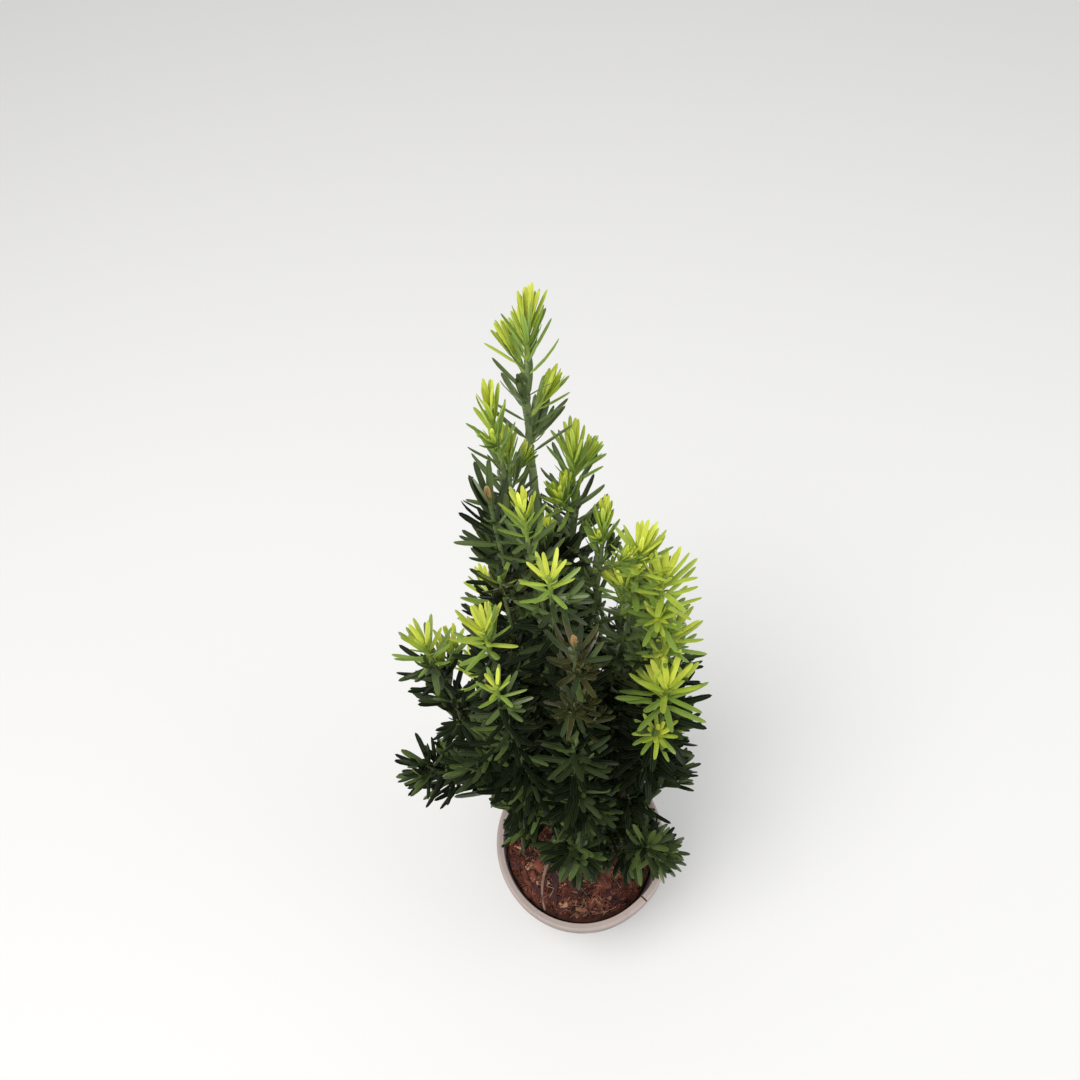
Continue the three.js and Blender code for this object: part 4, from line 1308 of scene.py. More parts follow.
def pot_profile(rim_round, outer_round, slope):
    """Half the pot's section, in millimetres, from the middle of its underside out, up, in and down."""
    flange_under = POT_HEIGHT - FLANGE_THICKNESS
    skirt_foot = POT_HEIGHT - SKIRT_DEPTH
    skirt_inner = POT_MOUTH_RADIUS - SKIRT_WALL
    dip = POT_HEIGHT - slope
    return [
        *POT_UNDERSIDE,
        *arc(POT_BASE_RADIUS - POT_FOOT_ROUND, POT_FOOT_ROUND, POT_FOOT_ROUND, -80, -8),
        *((inner(height) + POT_WALL, height) for height in OUTER_WALL_HEIGHTS),
        (inner(flange_under) + POT_WALL, flange_under - CREASE),
        (inner(flange_under) + 1.8, flange_under),
        (skirt_inner - CREASE, flange_under),
        (skirt_inner, flange_under - CREASE),
        (skirt_inner - SKIRT_EDGE, skirt_foot + CREASE),
        *arc(POT_MOUTH_RADIUS - 1.1, skirt_foot + SKIRT_EDGE, SKIRT_EDGE, -170, -10, 4),
        (POT_MOUTH_RADIUS - 0.55, skirt_foot + 2),
        (POT_MOUTH_RADIUS - 0.2, POT_HEIGHT - 3.4),
        *arc(POT_MOUTH_RADIUS - outer_round, POT_HEIGHT - outer_round, outer_round, -5, 90, 8),
        (POT_INNER_RADIUS + 2.6, POT_HEIGHT - 0.5 * slope),
        *arc(POT_INNER_RADIUS + rim_round, dip - rim_round, rim_round, 90, 180),
        *((inner(height), height) for height in INNER_WALL_HEIGHTS),
        (inner(POT_FLOOR), POT_FLOOR),
        (30, POT_FLOOR),
        (0, POT_FLOOR),
    ]


def pressed(point):
    """The soft pot is pressed a little oval, and its rim is out of round on one side."""
    press = MOUTH_SQUEEZE * point.z / POT_HEIGHT
    heading = math.degrees(math.atan2(point.y, point.x))
    radius = math.hypot(point.x, point.y)
    push = sum(depth * math.exp(-(((heading - at) / wide) ** 2)) for at, wide, depth in (RIM_BULGE, RIM_DENT))
    grown = smooth(BULGE_HEIGHT, POT_HEIGHT, point.z) * smooth(BULGE_RADIUS, POT_BASE_RADIUS, radius)
    out = 1 + push * grown / max(radius, 1)
    return Vector((point.x * (1 - press) * out, point.y * (1 + press) * out, point.z))


def squeezed(x, y, height):
    """A point of the soil, pressed oval with the pot."""
    press = MOUTH_SQUEEZE * height / POT_HEIGHT
    return Vector((x * (1 - press), y * (1 + press), height))


def make_pot_mesh(pot):
    """The pot's section, turned round its axis."""
    profile = pot_profile(pot.rim_round / MM, pot.outer_round / MM, pot.flange_slope / MM)
    rings = [[pressed(polar(radius, a, height)) for a in turned(pot.segments)] for radius, height in profile]
    shell = Shell()
    shell.add_tube(rings[1:-1], [rings[0][0], rings[-1][0]])
    return shell.mesh("pot_body")


def pot_cutters(materials):
    """Drain holes through the floor and the nick in the rim, whose cut faces take a dark soil colour, partly
    dried soil and partly painted shade in the narrow cut, as one object.
    """
    shell = Shell()
    for i in range(DRAIN_HOLES):
        middle = polar(DRAIN_RING, math.radians(360 / DRAIN_HOLES * (i + 0.5)))
        shell.add_tube([
            [middle + polar(DRAIN_RADIUS, angle, height) for angle in turned(DRAIN_CORNERS)]
            for height in DRAIN_CUT
        ])
    along = polar(1, math.radians(NICK_HEADING))
    middle = (POT_INNER_RADIUS + POT_MOUTH_RADIUS) / 2 * along + Vector((0, 0, POT_HEIGHT))
    across = Vector((-along.y, along.x, 0))
    corners = ((1, -NICK_DEPTH), (1, NICK_CLEAR), (-1, NICK_CLEAR), (-1, -NICK_DEPTH))
    rings = []
    for side in (-1, 1):
        centre = middle + side * NICK_REACH * along
        rings.append([centre + Vector((0, 0, z)) + w * NICK_HALF_WIDTH * across for w, z in corners])
    holes = len(shell.faces)
    shell.add_tube(rings)
    mesh = shell.mesh("pot_cutters")
    for material in materials:
        mesh.materials.append(material)
    for face in mesh.polygons[holes:]:
        face.material_index = 1
    return new_object("pot_cutters", mesh)


class YEW_OT_pot(bpy.types.Operator):
    """Makes the nursery pot with its rim, skirt and drain holes"""

    bl_idname = "yew.pot"
    bl_label = "Pot"

    def execute(self, context):
        pot = context.scene.yew_pot
        # The nick's cut faces are painted dark soil brown: partly dried soil in it, partly painted shade in
        # the narrow cut
        stain = litter_material("stain", pot.dust, toned(pot.dust, 0.5), 200.0)
        materials = [plastic_material(pot), stain]
        blank = new_object("pot_blank", make_pot_mesh(pot))
        for material in materials:
            blank.data.materials.append(material)
        cutters = pot_cutters(materials)
        cut = blank.modifiers.new("cut", "BOOLEAN")
        cut.operation = "DIFFERENCE"
        cut.solver = "EXACT"
        cut.object = cutters
        mesh = evaluated_mesh(blank)
        bpy.data.objects.remove(cutters)
        mesh.set_sharp_from_angle(angle=math.radians(POT_CRISP))
        finished_piece("nursery_pot", mesh, [], ["pot"])
        return {"FINISHED"}


# The soil

# The mix has shrunk from the wall on one side: heading and half width in degrees, and depth in millimetres
SHRUNK_HEADING = -22
SHRUNK_WIDTH = 42
SHRUNK_DEPTH = 12
# On the other side it is heaped against the wall
HEAP_HEADING = -155
HEAP_WIDTH = 60
HEAP_HEIGHT = 4.5
SOIL_EDGE_DROP = 2
SOIL_EDGE_RADIUS = 54
SOIL_WALL_GAP = 0.9
# It is level round the trunk, out to between these two distances
SOIL_LEVEL = (14, 24)
SOIL_WALL_HEIGHTS = (POT_FLOOR + GAP, 40, 70)
SOIL_CORNERS = 144
SOIL_TOP_RINGS = 48


def soil_height(x, y):
    """The height of the mix, in millimetres, as in the source, with finer lumps."""
    away = math.hypot(x - TRUNK_FOOT.x, y - TRUNK_FOOT.y)
    fade = smooth(*SOIL_LEVEL, away)
    waves = math.sin(0.21 * x + 1.3) * math.cos(0.17 * y) + 0.6 * math.sin(0.33 * y - 0.19 * x)
    lumps = noise.fractal(Vector((x, y, 3)) * 0.16, 1.0, 2.0, 4)
    share = math.hypot(x, y) / POT_INNER_RADIUS

    def near_wall(heading, width, height, start):
        off = (math.degrees(math.atan2(y, x)) - heading + 180) % 360 - 180
        return height * smooth(start, 0.96, share) * math.exp(-((off / width) ** 2))

    shrunk = near_wall(SHRUNK_HEADING, SHRUNK_WIDTH, SHRUNK_DEPTH, 0.72)
    heap = near_wall(HEAP_HEADING, HEAP_WIDTH, HEAP_HEIGHT, 0.55)
    return SOIL_TOP - (1.6 * fade * (0.5 + 0.3 * waves) - 1.3 * mix(0.3, 1, fade) * lumps + shrunk - heap)


def soil_edge(angle):
    """How far out the top of the mix meets the wall on one heading."""
    x, y = SOIL_EDGE_RADIUS * math.cos(angle), SOIL_EDGE_RADIUS * math.sin(angle)
    return inner(soil_height(x, y) - SOIL_EDGE_DROP) - SOIL_WALL_GAP


def soil_mesh():
    """The plug of bark mix, finely lumped on top."""
    rings = []
    for height in SOIL_WALL_HEIGHTS:
        radius = inner(height) - SOIL_WALL_GAP
        ring = [squeezed(radius * math.cos(a), radius * math.sin(a), height) for a in turned(SOIL_CORNERS)]
        rings.append(ring)
    edge = [(angle, soil_edge(angle)) for angle in turned(SOIL_CORNERS)]
    for share in np.linspace(1, 0.02, SOIL_TOP_RINGS):
        ring = []
        for angle, reach in edge:
            x, y = share * reach * math.cos(angle), share * reach * math.sin(angle)
            ring.append(squeezed(x, y, soil_height(x, y) - SOIL_EDGE_DROP * smooth(0.93, 1, share)))
        rings.append(ring)
    shell = Shell()
    shell.add_tube(rings, [Vector((0, 0, SOIL_WALL_HEIGHTS[0])), Vector((0, 0, soil_height(0, 0)))])
    return shell.mesh("bark_mix")


class YEW_OT_soil(bpy.types.Operator):
    """Makes the plug of bark mix with its lumpy top"""

    bl_idname = "yew.soil"
    bl_label = "Bark mix"

    def execute(self, context):
        soil = context.scene.yew_soil
        # The humus colour is partly painted shade, so the gaps between the litter read dark
        material = litter_material("humus", soil.dark, toned(soil.red, 0.6), 130.0)
        finished_piece("bark_mix", soil_mesh(), [material], ["soil"])
        return {"FINISHED"}


# Litter on the soil

# A long dry stalk that lies from the middle to the rim: its foot, bend and tip, and its radii
DRY_STALK = ((-19, -2, 91), (-37, -24, 98), (-32.7, -45.9, 92.5))
DRY_STALK_RADIUS = (1.4, 0.9)
DRY_STALK_STEPS = 24
DRY_STALK_SIDES = 7

# How far litter keeps inside the wall, in millimetres, with the pot's squeeze and dent
WALL_CLEARANCE = 2.8

# Large pieces of bark and wood on the mix: middle, heading in degrees, length and width in millimetres
Slab = namedtuple("Slab", "x y heading long wide")
DARK_SLABS = [
    Slab(-23, -27, -100, 28, 5.2),
    Slab(-7, -33, -86, 13, 5.5),
    Slab(15, -44, -80, 10, 6.0),
    Slab(22, -45, 13, 8, 4.0),
    Slab(-36, -32, -60, 12, 4.0),
    Slab(33, -22, -67, 9, 3.6),
]
RED_SLABS = [
    Slab(14, -30, -96, 13, 9.0),
    Slab(9, -17, -129, 12, 5.5),
    Slab(-39, -26, -84, 18, 5.5),
    Slab(-44, -22, -72, 13, 4.0),
    Slab(-34, -14, -66, 8, 6.0),
    Slab(30, -30, -47, 8, 4.5),
    Slab(4, -41, -122, 17, 3.8),
]
PALE_SLABS = [
    Slab(11, -23, 4, 11, 2.0),
    Slab(-19, -44, 10, 5.5, 4.2),
    Slab(-41, -13, 37, 6, 4.0),
    Slab(-6, -49, -15, 9, 3.0),
]
# Half a slab's section, across and up, right-handed about its length
SLAB_SECTION = ((1, 0), (0.85, 0.8), (0.1, 1), (-0.8, 0.7), (-1, 0), (-0.8, -1), (0.8, -1))
SLAB_THICKNESS = 1.9
SLAB_LIFT = 1.8
SLAB_TEAR = 0.16
SLAB_RAGGED = 0.45
SLAB_BUMPS = 0.7
SLAB_ARCH = 0.03
SLAB_STEPS = 9
SLAB_CRISP = 32

# The steps of the disc that the rest is scattered on, and how far it keeps from the wall, in millimetres
BED_RINGS = 12
BED_CORNERS = 40
BED_CLEARANCE = 3

LITTER_INPUTS = [
    ("Count per square metre", "NodeSocketFloat", 9000.0),
    ("Seed", "NodeSocketInt", 1),
    ("Shortest", "NodeSocketFloat", 0.004),
    ("Longest", "NodeSocketFloat", 0.011),
    ("Width", "NodeSocketFloat", 0.0022),
    ("Thickness", "NodeSocketFloat", 0.0008),
    ("Tilt", "NodeSocketFloat", 0.5),
    ("Raggedness", "NodeSocketFloat", 0.0008),
    ("Rise", "NodeSocketFloat", 0.0006),
    ("Patchiness", "NodeSocketFloat", 0.0),
    ("Material", "NodeSocketMaterial", None),
]

# Scattered litter: its name and material, the share of the bed that it lies on, and then the inputs above.
# The seed is added to the soil's. Lengths are in metres, but the longest is a share of the longest chip or
# fibre, and a fibre's thickness is a share of the thickest fibre's.
Litter = namedtuple("Litter", "name material bed count seed short long width thick tilt ragged rise patchy")
CHIPS = [
    Litter("bark_strips", "strip", 0.9, 9000.0, 5, 0.009, 2.0, 0.0024, 0.0013, 0.35, 0.003, 0.0012, 0.0),
    Litter("dark_chips", "dark", 0.98, 40000.0, 4, 0.004, 1.1, 0.0026, 0.0012, 0.6, 0.0026, 0.0004, 0.0),
    Litter("bark_chips", "red", 0.97, 42000.0, 0, 0.003, 1.0, 0.0022, 0.001, 0.6, 0.0026, 0.0008, 0.0),
    Litter("wood_chips", "tan", 0.95, 36000.0, 1, 0.003, 1.0, 0.0018, 0.0008, 0.5, 0.002, 0.0013, 0.9),
]
FIBRES = [
    Litter("bark_fibres", "red", 0.97, 150000.0, 2, 0.004, 0.7, 0.0, 1.0, 0.5, 0.004, 0.0016, 0.0),
    Litter("straws", "straw", 0.95, 90000.0, 3, 0.004, 0.65, 0.0, 0.45, 0.45, 0.0035, 0.002, 0.9),
]


def litter_tree(name):
    """A tree with the litter's inputs, which starts from points that are scattered on the bed and lifted a
    little off it, each with a random turn."""
    geometry = ("Geometry", "NodeSocketGeometry")
    tree, start, end = new_group("GeometryNodeTree", name, [(*geometry, None), *LITTER_INPUTS], [geometry])
    given = start.outputs
    patches = ranged(tree, noise_node(tree, position(tree), 45, 1), 0.44, 0.6)
    share = maths(tree, "MAXIMUM", patches, maths(tree, "SUBTRACT", 1.0, given["Patchiness"]))
    density = times(tree, share, given["Count per square metre"])
    inputs = {"Mesh": given["Geometry"], "Density": density, "Seed": given["Seed"]}
    spread = node(tree, "GeometryNodeDistributePointsOnFaces", inputs, distribute_method="RANDOM")
    offset = combined(tree, 0.0, 0.0, given["Rise"])
    points = moved(tree, spread.outputs["Points"], Offset=offset)
    tilt_down = times(tree, given["Tilt"], -1.0)
    turn = combined(
        tree,
        random_number(tree, tilt_down, given["Tilt"], 11),
        random_number(tree, tilt_down, given["Tilt"], 12),
        random_number(tree, 0.0, 2 * math.pi, 13),
    )
    return tree, given, end, points, turn


def position(tree):
    return node(tree, "GeometryNodeInputPosition").outputs[0]


def random_number(tree, low, high, seed):
    inputs = {2: low, 3: high, "Seed": seed}
    return node(tree, "FunctionNodeRandomValue", inputs, data_type="FLOAT").outputs[1]


def moved(tree, geometry, **inputs):
    """Geometry with its points moved by an offset or to a position."""
    return node(tree, "GeometryNodeSetPosition", {"Geometry": geometry, **inputs}).outputs["Geometry"]


def copied(tree, points, form, turn, size):
    """Real copies of a form on scattered points."""
    inputs = {"Points": points, "Instance": form, "Rotation": turn, "Scale": size}
    copies = node(tree, "GeometryNodeInstanceOnPoints", inputs).outputs["Instances"]
    return node(tree, "GeometryNodeRealizeInstances", {"Geometry": copies}).outputs["Geometry"]


def ended(tree, given, geometry, end):
    """Gives the copies their material and ends the tree."""
    inputs = {"Geometry": geometry, "Material": given["Material"]}
    tree.links.new(node(tree, "GeometryNodeSetMaterial", inputs).outputs["Geometry"], end.inputs["Geometry"])
    return tree


def ragged(tree, given, geometry, scale):
    """Moves every point by a noise of its place, as far as the raggedness says, but not into the wall."""
    rough = node(tree, "ShaderNodeTexNoise", {"Vector": position(tree), "Scale": scale}).outputs["Color"]
    centred = node(tree, "ShaderNodeVectorMath", {0: rough, 1: (0.5, 0.5, 0.5)}, operation="SUBTRACT")
    inputs = {0: centred.outputs[0], "Scale": given["Raggedness"]}
    sized = node(tree, "ShaderNodeVectorMath", inputs, operation="SCALE")
    across, along, height = parts_of(tree, position(tree))
    square = maths(tree, "ADD", times(tree, across, across), times(tree, along, along))
    reach = maths(tree, "MAXIMUM", maths(tree, "SQRT", square), 0.001)
    wall = maths(tree, "ADD", times(tree, height, INNER_SLOPE), MM * (inner(0) - WALL_CLEARANCE))
    pull = maths(tree, "MINIMUM", maths(tree, "DIVIDE", wall, reach), 1.0)
    pulled = combined(tree, times(tree, across, pull), times(tree, along, pull), height)
    return moved(tree, moved(tree, geometry, Offset=sized.outputs[0]), Position=pulled)


def chip_tree():
    """Ragged flat chips, scattered on the bed and realized."""
    tree, given, end, points, turn = litter_tree("bark_chips")
    inputs = {"Size": (1, 1, 1), "Vertices X": 4, "Vertices Y": 3}
    block = node(tree, "GeometryNodeMeshCube", inputs).outputs["Mesh"]
    size = combined(
        tree,
        random_number(tree, given["Shortest"], given["Longest"], 21),
        times(tree, given["Width"], random_number(tree, 0.5, 1.4, 22)),
        times(tree, given["Thickness"], random_number(tree, 0.6, 1.5, 23)),
    )
    chips = copied(tree, points, block, turn, size)
    return ended(tree, given, ragged(tree, given, chips, 380.0), end)


def fibre_tree():
    """Thin bent fibres and straws, scattered on the bed and realized."""
    tree, given, end, points, turn = litter_tree("bark_fibres")
    inputs = {"Start": (-0.5, 0, 0), "End": (0.5, 0, 0)}
    stalk = node(tree, "GeometryNodeCurvePrimitiveLine", inputs).outputs["Curve"]
    finer = node(tree, "GeometryNodeResampleCurve", {"Curve": stalk, "Count": 7}).outputs["Curve"]
    length = random_number(tree, given["Shortest"], given["Longest"], 31)
    fibres = copied(tree, points, finer, turn, combined(tree, length, length, length))
    inputs = {"Resolution": 4, "Radius": given["Thickness"]}
    section = node(tree, "GeometryNodeCurvePrimitiveCircle", inputs).outputs["Curve"]
    bent = ragged(tree, given, fibres, 90.0)
    inputs = {"Curve": bent, "Profile Curve": section, "Fill Caps": True}
    return ended(tree, given, node(tree, "GeometryNodeCurveToMesh", inputs).outputs["Mesh"], end)


def litter_bed(share):
    """The part of the soil's top that litter lies on: a disc that follows the lumps."""
    reach = share * (POT_INNER_RADIUS - BED_CLEARANCE)
    points = [Vector((0, 0, soil_height(0, 0)))]
    for j in range(1, BED_RINGS + 1):
        for angle in turned(BED_CORNERS):
            x, y = (reach * j / BED_RINGS * c for c in (math.cos(angle), math.sin(angle)))
            points.append(Vector((x, y, soil_height(x, y))))
    faces = []
    for i in range(BED_CORNERS):
        k = (i + 1) % BED_CORNERS
        faces.append((0, 1 + i, 1 + k))
        for j in range(BED_RINGS - 1):
            a, b = 1 + j * BED_CORNERS, 1 + (j + 1) * BED_CORNERS
            faces.append((a + i, b + i, b + k, a + k))
    return plain_mesh("litter_bed", points, faces)


def litter_piece(tree, kind, material, first_seed, length, thickness):
    """One kind of litter as a plain mesh."""
    bed = new_object(f"{kind.name}_bed", litter_bed(kind.bed))
    scatter = bed.modifiers.new("litter", "NODES")
    scatter.node_group = tree
    sized = kind._replace(
        seed=first_seed + kind.seed, long=kind.long * length, thick=kind.thick * thickness
    )
    values = dict(zip((name for name, _, _ in LITTER_INPUTS), (*sized[3:], material)))
    for item in tree.interface.items_tree:
        if item.in_out == "INPUT" and item.name in values:
            scatter[item.identifier] = values[item.name]
    finished_piece(kind.name, evaluated_mesh(bed), [])


def slab_rings(slab):
    """Rings of a flat torn chip, lying on the mix from end to end."""
    along = polar(1, math.radians(slab.heading))
    across = Vector((-along.y, along.x, 0))
    ends = [Vector((slab.x, slab.y, 0)) + side * 0.5 * slab.long * along for side in (-1, 1)]
    for end in ends:
        end.z = soil_height(end.x, end.y) + SLAB_LIFT
    rings = []
    for j in range(SLAB_STEPS + 1):
        share = j / SLAB_STEPS
        ring = []
        for side, up in SLAB_SECTION:
            tear = SLAB_TEAR * slab.long * noise.noise(Vector((3 * side, slab.x, slab.y))) * (2 * share - 1)
            place = ends[0].lerp(ends[1], share) + tear * along
            wide = slab.wide * (1 + SLAB_RAGGED * noise.noise(0.35 * place + Vector((0, 0, 9 * side))))
            place += 0.5 * side * wide * across
            bump = 1 + SLAB_BUMPS * noise.noise(0.4 * place)
            place.z += 0.5 * up * SLAB_THICKNESS * bump + SLAB_ARCH * slab.long * 4 * share * (1 - share)
            pull = min((inner(place.z) - WALL_CLEARANCE) / math.hypot(place.x, place.y), 1)
            ring.append(Vector((pull * place.x, pull * place.y, place.z)))
        rings.append(ring)
    return rings


def slab_piece(name, slabs, material):
    """Large chips as one piece with crisp edges."""
    shell = Shell()
    for slab in slabs:
        shell.add_tube(slab_rings(slab))
    mesh = shell.mesh(name)
    mesh.set_sharp_from_angle(angle=math.radians(SLAB_CRISP))
    finished_piece(name, mesh, [material])


class YEW_OT_litter(bpy.types.Operator):
    """Lays chips, fibres, straws and a dry stalk on the soil"""

    bl_idname = "yew.litter"
    bl_label = "Litter"

    def execute(self, context):
        soil = context.scene.yew_soil
        materials = {
            "strip": litter_material("bark_strip", soil.strip, toned(soil.strip, 0.4), 90.0),
            "dark": litter_material("dark_chip", toned(soil.red, 0.42), soil.dark, 120.0),
            "red": litter_material("bark_chip", soil.red, toned(soil.red, 0.35), 110.0),
            "tan": litter_material("wood_chip", soil.tan, soil.red, 140.0),
            "straw": litter_material("straw", soil.straw, soil.tan, 70.0),
        }
        chips, fibres = chip_tree(), fibre_tree()
        for kind in CHIPS:
            litter_piece(chips, kind, materials[kind.material], soil.seed, soil.chip_length, 1.0)
        for kind in FIBRES:
            sizes = (soil.fibre_length, soil.fibre_radius)
            litter_piece(fibres, kind, materials[kind.material], soil.seed, *sizes)
        slab_piece("dark_slabs", DARK_SLABS, materials["strip"])
        slab_piece("red_slabs", RED_SLABS, materials["red"])
        slab_piece("pale_slabs", PALE_SLABS, materials["tan"])

        def thickness(place, angle, step):
            return mix(*DRY_STALK_RADIUS, step / DRY_STALK_STEPS)

        stalk = Shell()
        line = Line(*(Vector(place) for place in DRY_STALK))
        stalk.add_tube(rings_along(line, 0, 1, DRY_STALK_STEPS, DRY_STALK_SIDES, thickness))
        bare = litter_material("dry_stalk", soil.stalk, toned(soil.stalk, 0.6), 160.0)
        finished_piece("dry_stalk", stalk.mesh("dry_stalk"), [bare])
        return {"FINISHED"}


# Wood

# Steps round and along the trunk and a bough
TRUNK_STEPS = (26, 150)
BOUGH_STEPS = (12, 26)
# How deep the trunk stands in the soil, in millimetres, and how far a bough runs on into its mass
TRUNK_SUNK = 3
BOUGH_OVERLAP = 1.04
BOUGH_RELIEF = 0.45


def bark_relief(point, strength):
    """Ridges and flakes of thin bark, in millimetres."""
    ridges = noise.fractal(Vector((point.x * 0.5, point.y * 0.5, point.z * 0.09)), 1.0, 2.1, 3)
    flakes = noise.noise(Vector((point.x * 0.9, point.y * 0.9, point.z * 0.35)))
    return strength * (0.8 * ridges + 0.4 * max(flakes, 0))


def limb_rings(line, last, radius_at, sides, steps, strength):
    """Rings of the trunk or a bough with the bark's relief, up to a share of its line."""

    def reach(place, angle, step):
        radius = radius_at(step / steps)
        return radius + min(bark_relief(place.round(angle, radius), strength), 0.25 * radius)

    return rings_along(line, 0, last, steps, sides, reach)


def buttressed_radius(share):
    return trunk_radius(share) * (1 + 0.12 * math.exp(-share / 0.02))


def bough_radius(share, thick):
    """A bough's radius, with the collar that it stands on at the trunk."""
    collar = 0.9 * math.exp(-share / 0.12)
    return mix(thick, BOUGH_TIP_RADIUS, share) + collar


class YEW_OT_wood(bpy.types.Operator):
    """Makes the trunk and boughs as one mesh with the bark's relief"""

    bl_idname = "yew.wood"
    bl_label = "Trunk and boughs"

    def execute(self, context):
        boughs, _ = plant_growth()
        strength = context.scene.yew_plant.trunk_relief / MM
        shell = Shell()
        trunk = Line(TRUNK_FOOT - Vector((0, 0, TRUNK_SUNK)), TRUNK_KNEE, TRUNK_TIP)
        shell.add_tube(limb_rings(trunk, 1, buttressed_radius, *TRUNK_STEPS, strength))
        for line, tip, thick, _ in boughs:
            last = min(tip * BOUGH_OVERLAP, 1)
            relief = BOUGH_RELIEF * strength
            radius_at = partial(bough_radius, thick=thick)
            shell.add_tube(limb_rings(line, last, radius_at, *BOUGH_STEPS, relief))
        names = ["trunk"] + [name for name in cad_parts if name.startswith("bough_")]
        material = bark_material(context.scene.yew_colours)
        finished_piece("trunk_and_boughs", shell.mesh("wood"), [material], names)
        return {"FINISHED"}


# Stems

STEM_SIDES = 8
STEM_RING_SPACING = 2.2
STEM_RIB = 0.14
# As shares of a shoot: how far the old stem runs into the new one, and the shortest that is made
STEM_OVERLAP = 0.01
SHORTEST_STEM = 0.02


def stem_rings(stem, first, last):
    """Rings of a needled stem, ribbed by the feet of its needles."""
    length = stem.line.length(first) - stem.line.length(last)
    steps = max(int(length / STEM_RING_SPACING), 3)

    def reach(place, angle, step):
        share = (mix(first, last, step / steps) - stem.start) / (1 - stem.start)
        return mix(stem.root, stem.tip, share) * (1 + STEM_RIB * math.cos(3 * angle + 2.4 * step))

    return rings_along(stem.line, first, last, steps, STEM_SIDES, reach)


class YEW_OT_stems(bpy.types.Operator):
    """Makes the green stems, new and old"""

    bl_idname = "yew.stems"
    bl_label = "Stems"

    def execute(self, context):
        colours = context.scene.yew_colours
        _, stems = plant_growth()
        new, old = Shell(), Shell()
        for stem in stems:
            length = stem.line.length(stem.start)
            split = 1 - (1 - stem.start) * min(stem.flush / length, 1)
            if split > stem.start + SHORTEST_STEM:
                old.add_tube(stem_rings(stem, stem.start, min(split + STEM_OVERLAP, 1)))
            if split < 1:
                new.add_tube(stem_rings(stem, split, 1))
        young = stem_material("young_stem", colours.young_stem, colours.fresh)
        green = stem_material("green_stem", colours.green_stem, toned(colours.green_stem, 0.5))
        finished_piece("new_stems", new.mesh("new_stems"), [young])
        finished_piece("old_stems", old.mesh("old_stems"), [green])
        return {"FINISHED"}


# Needle pieces

# For each piece of needles: its colour, the colour of its pale edge, which on the margin is partly a painted
# highlight, and how bright that is, how much of its rib shows pale, its roughness and its specular
Look = namedtuple("Look", "colour edge brightness rib roughness specular")
NEEDLE_LOOKS = {
    "bright": Look("bright", "bright", 1.05, 0.12, 0.46, 0.4),
    "lime": Look("lime", "bright", 0.85, 0.12, 0.42, 0.4),
    "fresh": Look("fresh", "lime", 0.8, 0.12, 0.38, 0.4),
    "leaf": Look("leaf", "fresh", 0.8, 0.35, 0.34, 0.38),
    "dark": Look("dark", "leaf", 0.8, 0.35, 0.30, 0.34),
    # The darkest two pieces are painted near-black as shade inside the crown
    "deep": Look("deep", "dark", 1.2, 0.35, 0.42, 0.1),
    "inner": Look("deep", "dark", 1.2, 0.35, 0.42, 0.1),
    "bronze": Look("bronze", "bronze_edge", 1, 0.12, 0.24, 0.6),
    "bud": Look("bud", "bud", 1.2, 0.12, 0.6, 0.3),
}


class YEW_OT_needles(bpy.types.Operator):
    """Makes the needles, one piece for each shade that they are dealt"""

    bl_idname = "yew.needles"
    bl_label = "Needles"

    def execute(self, context):
        colours = context.scene.yew_colours
        plant = context.scene.yew_plant
        _, stems = plant_growth()
        form = needle_form()
        masses = [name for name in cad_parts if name.startswith("foliage_")]
        by_shade = grow_needles(stems, plant)
        grow_buds(stems, by_shade)
        for shade, needles in sorted(by_shade.items()):
            look = NEEDLE_LOOKS[shade]
            points = needle_points(needles, plant.needle_thickness / MM)
            mesh = copies_mesh(f"needles_{shade}", points, *form)
            edge = toned(getattr(colours, look.edge), look.brightness)
            material = needle_material(f"needle_{shade}", getattr(colours, look.colour), edge, *look[3:])
            replaced = masses if shade == "dark" else ()
            finished_piece(f"needles_{shade}", mesh, [material], replaced)
        return {"FINISHED"}


# Stage

# The round floor, in metres
FLOOR_RADIUS = 12
FLOOR_CORNERS = 96
# What the lights look at, and each light's place and size in metres and its colour
LIT_PLACE = Vector((0, 0.04, 0.25))
KEY_LIGHT = (Vector((-0.6, -0.4, 1.95)), 1.3, (1, 0.98, 0.95))
FILL_LIGHT = (Vector((1.1, -0.3, 1.0)), 1.0, (0.95, 0.98, 1))


def area_light(name, power, place, size, colour):
    light = bpy.data.lights.new(name, "AREA")
    light.shape = "DISK"
    light.size = size
    light.energy = power
    light.color = colour
    lamp = new_object(name, light)
    lamp.location = place
    lamp.rotation_euler = (LIT_PLACE - place).to_track_quat("-Z", "Y").to_euler()


def set_camera():
    """The camera of the photograph."""
    right, up, ahead = camera_directions()
    data = bpy.data.cameras.new("camera")
    data.lens = CAMERA_LENS
    data.sensor_width = SENSOR
    data.sensor_fit = "HORIZONTAL"
    data.clip_start = 0.01
    camera = new_object("camera", data)
    turn = Matrix((right, up, -ahead)).transposed().to_4x4()
    camera.matrix_world = Matrix.Translation(CAMERA_PLACE) @ turn
    bpy.context.scene.camera = camera


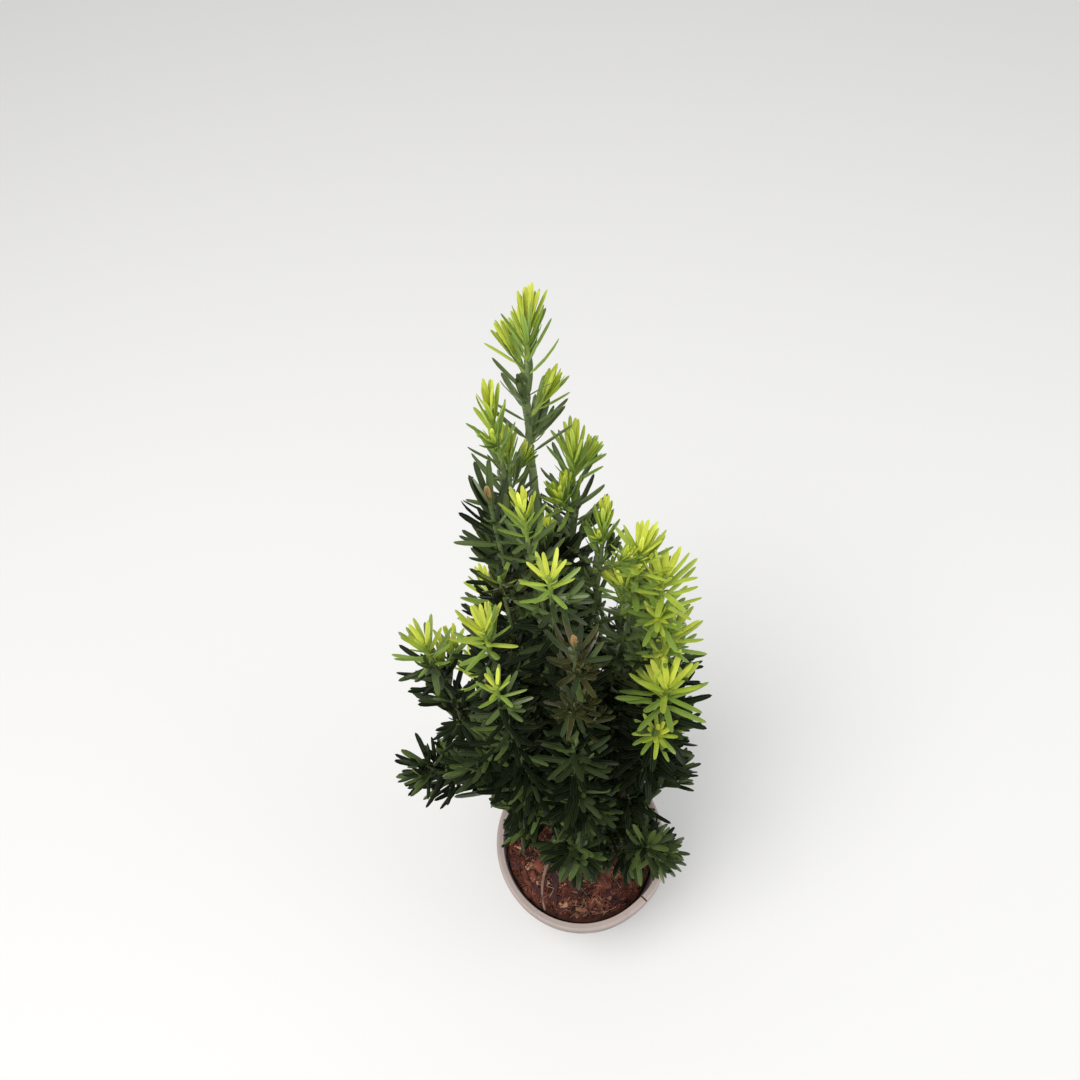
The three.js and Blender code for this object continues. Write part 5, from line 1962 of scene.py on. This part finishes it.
class YEW_OT_stage(bpy.types.Operator):
    """Sets the floor, the lights and the camera"""

    bl_idname = "yew.stage"
    bl_label = "Stage"

    def execute(self, context):
        settings = context.scene.yew_stage
        mesh = bpy.data.meshes.new("floor")
        corners = [polar(FLOOR_RADIUS, angle) for angle in turned(FLOOR_CORNERS)]
        mesh.from_pydata(corners, [], [range(FLOOR_CORNERS)])
        material, _, shader = new_material("floor", 0.9, 0.1)
        shader.inputs["Base Color"].default_value = (*settings.floor, 1)
        mesh.materials.append(material)
        new_object("floor", mesh)
        world = bpy.data.worlds.new("soft_light")
        world.use_nodes = True
        background = world.node_tree.nodes["Background"]
        background.inputs["Color"].default_value = (1, 1, 1, 1)
        background.inputs["Strength"].default_value = settings.sky
        context.scene.world = world
        context.scene.view_settings.view_transform = "Standard"
        area_light("key", settings.key, *KEY_LIGHT)
        area_light("fill", settings.fill, *FILL_LIGHT)
        set_camera()
        return {"FINISHED"}


OPERATORS = (YEW_OT_stage, YEW_OT_pot, YEW_OT_soil, YEW_OT_litter, YEW_OT_wood, YEW_OT_stems, YEW_OT_needles)


class YEW_PT_panel(bpy.types.Panel):
    """Lists the sizes and colours, and what can be made"""

    bl_idname = "YEW_PT_panel"
    bl_label = "Potted hillii yew"
    bl_space_type = "VIEW_3D"
    bl_region_type = "UI"
    bl_category = "Yew"

    def draw(self, context):
        layout = self.layout
        for name, group in SETTINGS.items():
            settings = getattr(context.scene, name)
            box = layout.box()
            box.label(text=group.__doc__)
            for key in group.__annotations__:
                box.prop(settings, key)
        for operator in OPERATORS:
            layout.operator(operator.bl_idname)


SETTINGS = {
    "yew_pot": YEW_PG_pot,
    "yew_soil": YEW_PG_soil,
    "yew_plant": YEW_PG_plant,
    "yew_colours": YEW_PG_colours,
    "yew_stage": YEW_PG_stage,
}


def register():
    for cls in (*SETTINGS.values(), *OPERATORS, YEW_PT_panel):
        bpy.utils.register_class(cls)
    for name, group in SETTINGS.items():
        setattr(bpy.types.Scene, name, PointerProperty(type=group))


def unregister():
    for name in SETTINGS:
        delattr(bpy.types.Scene, name)
    for cls in reversed((*SETTINGS.values(), *OPERATORS, YEW_PT_panel)):
        bpy.utils.unregister_class(cls)


def main():
    register()
    bpy.ops.yew.stage()
    bpy.ops.yew.pot()
    bpy.ops.yew.soil()
    bpy.ops.yew.litter()
    bpy.ops.yew.wood()
    bpy.ops.yew.stems()
    bpy.ops.yew.needles()


if __name__ == "__main__":
    main()
